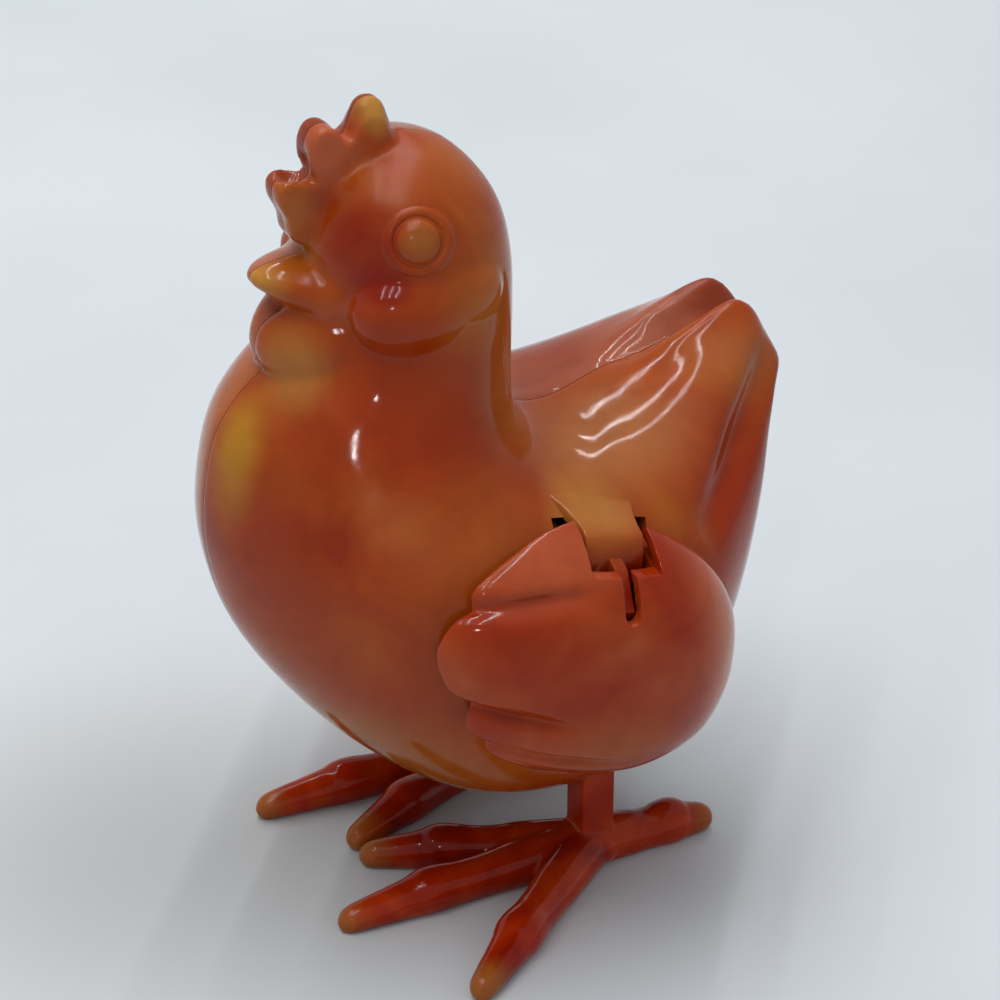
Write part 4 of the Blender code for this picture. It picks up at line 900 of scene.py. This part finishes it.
class Nodes:
    """A material's node tree, with short ways to add the nodes used here."""

    def __init__(self, name):
        self.material = bpy.data.materials.new(name)
        self.material.use_nodes = True
        self.tree = self.material.node_tree
        self.shader = self.tree.nodes["Principled BSDF"]

    def link(self, out, to):
        self.tree.links.new(out, to)

    def places(self):
        """Places in the layout's millimetres."""
        found = self.tree.nodes.new("ShaderNodeTexCoord")
        scale = self.tree.nodes.new("ShaderNodeMapping")
        scale.inputs["Location"].default_value = (0, -ORIGIN_AHEAD, 0)
        scale.inputs["Scale"].default_value = (1 / MM, 1 / MM, 1 / MM)
        self.link(found.outputs["Object"], scale.inputs["Vector"])
        return scale.outputs["Vector"]

    def noise(self, here, scale, detail, rough=0.5):
        node = self.tree.nodes.new("ShaderNodeTexNoise")
        node.inputs["Scale"].default_value = scale
        node.inputs["Detail"].default_value = detail
        node.inputs["Roughness"].default_value = rough
        self.link(here, node.inputs["Vector"])
        return node

    def scalar(self, operation, first, second, third=None):
        """A Math node's result. An operand is another node's output or a number."""
        node = self.tree.nodes.new("ShaderNodeMath")
        node.operation = operation
        for value, socket in zip((first, second, third), node.inputs):
            if isinstance(value, float):
                socket.default_value = value
            elif value is not None:
                self.link(value, socket)
        return node.outputs[0]

    def vector(self, operation, first, second=None, third=None):
        """A Vector Math node. An operand is another node's output or a tuple."""
        node = self.tree.nodes.new("ShaderNodeVectorMath")
        node.operation = operation
        for value, socket in zip((first, second, third), node.inputs):
            if isinstance(value, tuple):
                socket.default_value = value
            elif value is not None:
                self.link(value, socket)
        return node

    def reach(self, here, middle, sizes):
        """How far out a place lies from a middle: 1 at the half sizes."""
        away = self.vector("SUBTRACT", here, middle)
        squeezed = self.vector("DIVIDE", away.outputs[0], sizes)
        return self.vector("LENGTH", squeezed.outputs[0]).outputs["Value"]

    def spread(self, value, low, high, to_low, to_high, smooth=False):
        node = self.tree.nodes.new("ShaderNodeMapRange")
        node.interpolation_type = "SMOOTHSTEP" if smooth else "LINEAR"
        names = ("From Min", "From Max", "To Min", "To Max")
        for name, number in zip(names, (low, high, to_low, to_high)):
            node.inputs[name].default_value = number
        self.link(value, node.inputs["Value"])
        return node.outputs["Result"]

    def ramp(self, value, colours):
        node = self.tree.nodes.new("ShaderNodeValToRGB")
        set_stops(node.color_ramp, colours)
        self.link(value, node.inputs["Fac"])
        return node.outputs["Color"]

    def mix(self, share, tint, colour, blend="MIX"):
        node = self.tree.nodes.new("ShaderNodeMix")
        node.data_type = "RGBA"
        node.blend_type = blend
        if isinstance(share, float):
            node.inputs["Factor"].default_value = share
        else:
            self.link(share, node.inputs["Factor"])
        self.link(tint, node.inputs["A"])
        if isinstance(colour, tuple):
            node.inputs["B"].default_value = (*colour, 1.0)
        else:
            self.link(colour, node.inputs["B"])
        return node.outputs["Result"]

    def bump(self, height, strength, distance):
        node = self.tree.nodes.new("ShaderNodeBump")
        node.inputs["Strength"].default_value = strength
        node.inputs["Distance"].default_value = distance
        self.link(height, node.inputs["Height"])
        self.link(node.outputs["Normal"], self.shader.inputs["Normal"])


def marbled(name, colours, spots=(), swirl=0.040, roughness=0.085, glow=0.18, dull=()):
    """Glossy marbled plastic: soft streams of colour drawn out by a warp, with tinted regions.

    colours are (place, linear colour) along the streams. A spot is its middle and half sizes in
    layout millimetres, its colour, and how much of it shows at the middle. A dull region is its
    middle and half sizes, and how much rougher it is."""
    nodes = Nodes(name)
    shader = nodes.shader
    shader.inputs["IOR"].default_value = PLASTIC_IOR
    shader.inputs["Specular IOR Level"].default_value = PLASTIC_GLOSS
    shader.inputs["Subsurface Weight"].default_value = glow
    shader.inputs["Subsurface Radius"].default_value = GLOW_RADIUS
    shader.inputs["Subsurface Scale"].default_value = GLOW_SCALE
    here = nodes.places()
    warp = nodes.noise(here, swirl, 1.5)
    pushed = nodes.vector("MULTIPLY_ADD", warp.outputs["Color"], (STREAM_WARP,) * 3, here)
    streams = nodes.noise(pushed.outputs[0], swirl * 1.5, 2.5, 0.45).outputs["Fac"]
    tint = nodes.ramp(streams, colours)
    for middle, sizes, colour, share in spots:
        edge = nodes.scalar("MULTIPLY_ADD", streams, SPOT_STIR, nodes.reach(here, middle, sizes))
        tint = nodes.mix(nodes.spread(edge, *SPOT_EDGE, share, 0.0, True), tint, colour)
    wisps = nodes.noise(pushed.outputs[0], swirl * 7, 3.0, 0.6).outputs["Fac"]
    tint = nodes.mix(WISP_SHARE, tint, nodes.ramp(wisps, WISPS), "MULTIPLY")
    nodes.link(tint, shader.inputs["Base Color"])
    fine = nodes.noise(here, 0.9, 3.0).outputs["Fac"]
    rough = nodes.spread(fine, 0.3, 0.7, roughness - 0.02, roughness + 0.05)
    for middle, sizes, extra in dull:
        far = nodes.reach(here, middle, sizes)
        rough = nodes.scalar("ADD", nodes.spread(far, *DULL_EDGE, extra, 0.0, True), rough)
    nodes.link(rough, shader.inputs["Roughness"])
    waves = nodes.noise(here, 0.55, 2.0).outputs["Fac"]
    nodes.bump(waves, 0.10, 0.00012)
    return nodes.material


def toe_tips():
    """An ochre spot at the end of each toe."""
    spots = []
    for side, toes in ((1, LEFT_TOES), (-1, RIGHT_TOES)):
        for length, angle in toes:
            turn = math.radians(angle)
            tip = (side * (SHANK_X + math.sin(turn) * length), -math.cos(turn) * length, 1.5)
            spots.append((tip, (4.6, 4.6, 4.0), OCHRE, 0.9))
    return spots


orange_body = marbled("orange_body", ORANGE_STREAMS, [
    ((13, -26, 22), (18, 18, 12), OLIVE, 0.95),
    ((20, -18, 45), (9, 10, 16), OLIVE, 0.55),
    ((12, -22, 60), (12, 9, 12), FLAME, 0.55),
    ((4, -39, 64), (4.5, 4.5, 13), YELLOW, 0.95),
    ((10, -10, 64), (8, 6, 10), TAN, 0.55),
    ((7, -26, 84), (7, 6, 9), DARK_RED, 0.85),
    ((8, -12, 90), (9, 8, 5), TAN, 0.75),
    ((9, -22, 74), (6, 5, 5), FLAME, 0.8),
    ((12, -13, 75.5), (6, 7, 7), TAN, 0.95),
    ((8, -8, 66), (5, 5, 12), TAN, 0.6),
    # painted shade: the crease between cheek and beak root is darkened to dark red
    ((10, -25, 79.5), (5, 4, 2.5), DARK_RED, 0.9),
    ((12.5, -20.6, 84), (2.8, 3.0, 3.0), OCHRE, 0.9),
    ((2, -20.5, 95.5), (4, 3.4, 4.2), GOLD, 0.95),
    ((2, -26.5, 91), (4, 4, 5), ROSE, 0.95),
    ((2, -31, 85), (4, 3.4, 5), TAN, 0.95),
    ((1.5, -35, 77.8), (5, 4.5, 3), GOLD, 0.95),
    ((5, -33, 68.5), (5, 5.5, 6), BUFF, 0.9),
    ((5, -27, 75), (4, 3, 2.4), ROSE, 0.8),
    ((12, 2, 56), (14, 11, 8), SADDLE, 0.85),
    ((20, -4.5, 52), (7, 6, 4), BUFF, 0.95),
    # painted shade: the strap's lower end and the web below it turn dark red where they go into the
    # wing's notch and slit
    ((28.5, -4.5, 46.0), (6.0, 7.0, 5.0), DARK_RED, 1.0),
    ((25.4, -4.5, 46.6), (3.0, 7.0, 2.4), DARK_RED, 1.0),
    ((7, 19, 59), (7, 9, 5), SADDLE, 0.6),
    ((16, 13, 44), (8, 9, 14), FLAME, 0.5),
    # painted shade: a deeper dark red core in the crease between cheek and beak root
    ((11, -24, 78.6), (3.4, 2.6, 1.6), DARK_RED, 1.0),
], dull=[((6, -15, 87), (9, 9, 8), 0.22), ((21, -27, 53), (7, 7, 6), 0.35)])
pink_body = marbled("pink_body", PINK_STREAMS, [
    ((-3, -12, 92), (10, 9, 5), OLIVE, 0.7),
    # painted sheen: the front of the breast on this side, where the surface turns away, is lightened
    # toward tan
    ((-3, -37, 58), (10, 8, 18), TAN, 0.8),
])
wing_pink = marbled("wing_pink", WING_STREAMS, [
    ((28, -13, 52), (9, 11, 5), ROSE, 0.6),
    ((28, 10, 38), (9, 7, 18), ROSE, 0.95),
    ((31, -8, 30), (8, 9, 6), OLIVE, 0.45),
    ((-28, -4, 50), (9, 14, 6), ROSE, 0.7),
], swirl=0.045)
leg_red = marbled("leg_red", LEG_STREAMS, [
    *toe_tips(), ((13, 0, 8), (3, 2.5, 9), FLAME, 0.6),
], swirl=0.08)
inner_plastic = marbled("inner_plastic", TAN_STREAMS, swirl=0.06, roughness=0.22, glow=0.05)


def eggshell():
    """Off-white moulded plastic with faint specks and a soft pebbled skin."""
    nodes = Nodes("egg_white")
    here = nodes.places()
    clouds = nodes.noise(here, 0.25, 3.0).outputs["Fac"]
    tint = nodes.ramp(clouds, [(0.3, (0.70, 0.66, 0.56)), (0.7, (0.80, 0.77, 0.69))])
    specks = nodes.noise(here, 3.2, 1.0).outputs["Fac"]
    tint = nodes.mix(nodes.spread(specks, 0.66, 0.74, 0.0, 0.35), tint, (0.52, 0.40, 0.26))
    nodes.link(tint, nodes.shader.inputs["Base Color"])
    nodes.link(nodes.spread(clouds, 0.2, 0.8, 0.30, 0.42), nodes.shader.inputs["Roughness"])
    nodes.bump(nodes.noise(here, 2.0, 2.0).outputs["Fac"], 0.2, 0.0001)
    return nodes.material


def drawn_steel():
    """Wire and pin steel with fine draw marks and a little tarnish."""
    nodes = Nodes("steel")
    nodes.shader.inputs["Metallic"].default_value = 1.0
    here = nodes.places()
    tarnish = nodes.noise(here, 0.5, 3.0).outputs["Fac"]
    tint = nodes.ramp(tarnish, [(0.35, (0.36, 0.34, 0.32)), (0.6, (0.56, 0.56, 0.57))])
    nodes.link(tint, nodes.shader.inputs["Base Color"])
    drawn = nodes.vector("MULTIPLY", here, (9.0, 1.0, 9.0)).outputs[0]
    marks = nodes.noise(drawn, 1.0, 2.0).outputs["Fac"]
    nodes.link(nodes.spread(marks, 0.3, 0.7, 0.2, 0.42), nodes.shader.inputs["Roughness"])
    nodes.bump(marks, 0.15, 0.00005)
    return nodes.material


egg_white = eggshell()
steel = drawn_steel()


def build_body():
    """The two shells with their eyes. Returns the skin's search tree, which the wings follow."""
    skin = outer_skin()
    left = body_half(skin, 1, "hen_body_left")
    right = body_half(skin, -1, "hen_body_right")
    bpy.context.view_layer.update()
    tree = BVHTree.FromObject(skin, bpy.context.evaluated_depsgraph_get())
    bpy.data.objects.remove(skin, do_unlink=True)
    boolean(left, eye(tree, 1), "UNION")
    boolean(right, eye(tree, -1), "UNION")
    finish_piece(left, "body", "body_shell_left", orange_body)
    finish_piece(right, "body", "body_shell_right", pink_body)
    return tree


def build_wings(tree):
    left = wing(tree, "hen_wing_left")
    right = copy_of(left, "hen_wing_right")
    mirror(right)
    finish_piece(left, "wing_left", "wing_left", wing_pink)
    finish_piece(right, "wing_right", "wing_right", wing_pink)


def build_legs():
    for side, name, toes in ((1, "leg_left", LEFT_TOES), (-1, "leg_right", RIGHT_TOES)):
        finish_piece(leg(f"hen_{name}", side, toes), "legs", name, leg_red)


def egg(number):
    """A smooth egg in the place of the CAD's, narrower at its right end."""
    node = f"egg_{number}"
    low, high = (np.array(corner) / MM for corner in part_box(node))
    middle, half = (low + high) / 2, (high - low) / 2
    bm = bmesh.new()
    bmesh.ops.create_icosphere(bm, subdivisions=4, radius=1.0)
    for vert in bm.verts:
        x, y, z = vert.co
        thin = (1 - EGG_TAPER * x) / (1 + EGG_TAPER**2 / 2)
        vert.co = (
            middle[0] + x * half[0],
            middle[1] - ORIGIN_AHEAD + y * half[1] * thin,
            middle[2] + z * half[2] * thin,
        )
    item = mesh_object(f"toy_{node}", bm)
    finish_piece(item, "body", node, egg_white)


def coil_spring():
    """The return spring: a round wire whose end turns lie close together."""
    low, high = (np.array(corner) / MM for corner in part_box("return_spring"))
    middle, half = (low + high) / 2, (high - low) / 2
    around, foot, top = half[0] - SPRING_WIRE, low[2] + SPRING_WIRE, high[2] - SPRING_WIRE
    steps = SPRING_TURNS * SPRING_STEPS
    bm = bmesh.new()
    rings = []
    for step in range(steps + 1):
        turn = 2 * math.pi * step / SPRING_STEPS
        share = step / steps
        rise = share - SPRING_CLOSE * math.sin(2 * math.pi * share)
        at = Vector((
            middle[0] + around * math.cos(turn),
            middle[1] - ORIGIN_AHEAD + around * math.sin(turn),
            foot + (top - foot) * rise,
        ))
        out = Vector((math.cos(turn), math.sin(turn), 0))
        ring = []
        for spot in range(SPRING_SIDES):
            t = 2 * math.pi * spot / SPRING_SIDES
            way = out * math.cos(t) + Vector((0, 0, 1)) * math.sin(t)
            ring.append(bm.verts.new(at + way * SPRING_WIRE))
        rings.append(ring)
    for near, far in zip(rings, rings[1:]):
        for spot in range(SPRING_SIDES):
            after = (spot + 1) % SPRING_SIDES
            bm.faces.new((near[spot], near[after], far[after], far[spot]))
    bm.faces.new(rings[0])
    bm.faces.new(rings[-1][::-1])
    bmesh.ops.recalc_face_normals(bm, faces=bm.faces)
    item = mesh_object("coil_spring", bm)
    finish_piece(item, "legs", "return_spring", steel)
    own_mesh(item)


TAN_NODES = (
    "wing_pin_left", "wing_pin_right", "leg_bridge", "spring_beam", "egg_hopper", "egg_gate",
)
STEEL_NODES = ("leg_pin_left", "leg_pin_right", "gate_pin")


def build_inside():
    """Smooth eggs and spring, and the CAD's own forms for the body's other inner pieces."""
    for number in range(1, EGGS + 1):
        egg(number)
    coil_spring()
    for names, material in ((TAN_NODES, inner_plastic), (STEEL_NODES, steel)):
        for name in names:
            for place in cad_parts[name].material_slots:
                place.material = material


def camera():
    data = bpy.data.cameras.new("camera")
    data.sensor_width = SENSOR
    data.lens = CAMERA_LENS
    data.clip_start = 0.01
    item = bpy.data.objects.new("camera", data)
    a, e = math.radians(CAMERA_AZIMUTH), math.radians(CAMERA_ELEVATION)
    back = Vector((math.sin(a) * math.cos(e), -math.cos(a) * math.cos(e), math.sin(e)))
    right = Vector((math.cos(a), math.sin(a), 0))
    up = Vector((-math.sin(a) * math.sin(e), math.cos(a) * math.sin(e), math.cos(e)))
    at = right * CAMERA_SIDE + up * CAMERA_RISE + back * CAMERA_DISTANCE
    turn = Matrix((right, up, back)).transposed().to_4x4()
    item.matrix_world = Matrix.Translation((at + Vector((0, ORIGIN_AHEAD, 0))) * MM) @ turn
    bpy.context.scene.collection.objects.link(item)
    bpy.context.scene.camera = item


def tube_lamp(name, sideways, along, size, power):
    """A long lamp above the toy that shines down."""
    data = bpy.data.lights.new(name, "AREA")
    data.shape = "RECTANGLE"
    data.size, data.size_y = size
    data.energy = power
    item = bpy.data.objects.new(name, data)
    turn = Matrix.Rotation(math.radians(TUBE_TURN), 4, "Z")
    item.matrix_world = turn @ Matrix.Translation((along, sideways, TUBE_HEIGHT))
    bpy.context.scene.collection.objects.link(item)


def pale_floor():
    bm = bmesh.new()
    bmesh.ops.create_grid(bm, x_segments=FLOOR_CELLS, y_segments=FLOOR_CELLS, size=FLOOR_HALF)
    floor = mesh_object("floor", bm)
    nodes = Nodes("floor")
    here = nodes.places()
    tint = nodes.ramp(nodes.noise(here, FLOOR_CLOUDS, 3.0).outputs["Fac"], FLOOR_TINTS)
    # painted shadow: the floor's colour is mixed toward FLOOR_SHADE round a place ahead of the toy,
    # fading out over FLOOR_SHADE_RUN
    away = nodes.vector("DISTANCE", here, FLOOR_SHADE_AT).outputs["Value"]
    tint = nodes.mix(nodes.spread(away, *FLOOR_SHADE_RUN, 1.0, 0.0, True), tint, FLOOR_SHADE)
    nodes.link(tint, nodes.shader.inputs["Base Color"])
    nodes.shader.inputs["Roughness"].default_value = FLOOR_ROUGHNESS
    nodes.shader.inputs["Specular IOR Level"].default_value = FLOOR_GLOSS
    floor.data.materials.append(nodes.material)


def studio():
    """A room that is brighter overhead than all round, and the tubes."""
    world = bpy.data.worlds.new("studio")
    world.use_nodes = True
    tree = world.node_tree
    way = tree.nodes.new("ShaderNodeTexCoord")
    split = tree.nodes.new("ShaderNodeSeparateXYZ")
    tree.links.new(way.outputs["Generated"], split.inputs["Vector"])
    sky = tree.nodes.new("ShaderNodeValToRGB")
    set_stops(sky.color_ramp, WORLD_RISE)
    tree.links.new(split.outputs["Z"], sky.inputs["Fac"])
    tree.links.new(sky.outputs["Color"], tree.nodes["Background"].inputs["Color"])
    bpy.context.scene.world = world
    for number, sideways in enumerate(TUBE_SIDEWAYS, 1):
        tube_lamp(f"tube_{number}", sideways, TUBE_MIDDLE, TUBE_SIZE, TUBE_POWER)
    tube_lamp("far_tube", *FAR_TUBE)
    bpy.context.scene.view_settings.view_transform = "Standard"


skin_tree = build_body()
build_wings(skin_tree)
build_legs()
build_inside()
camera()
pale_floor()
studio()
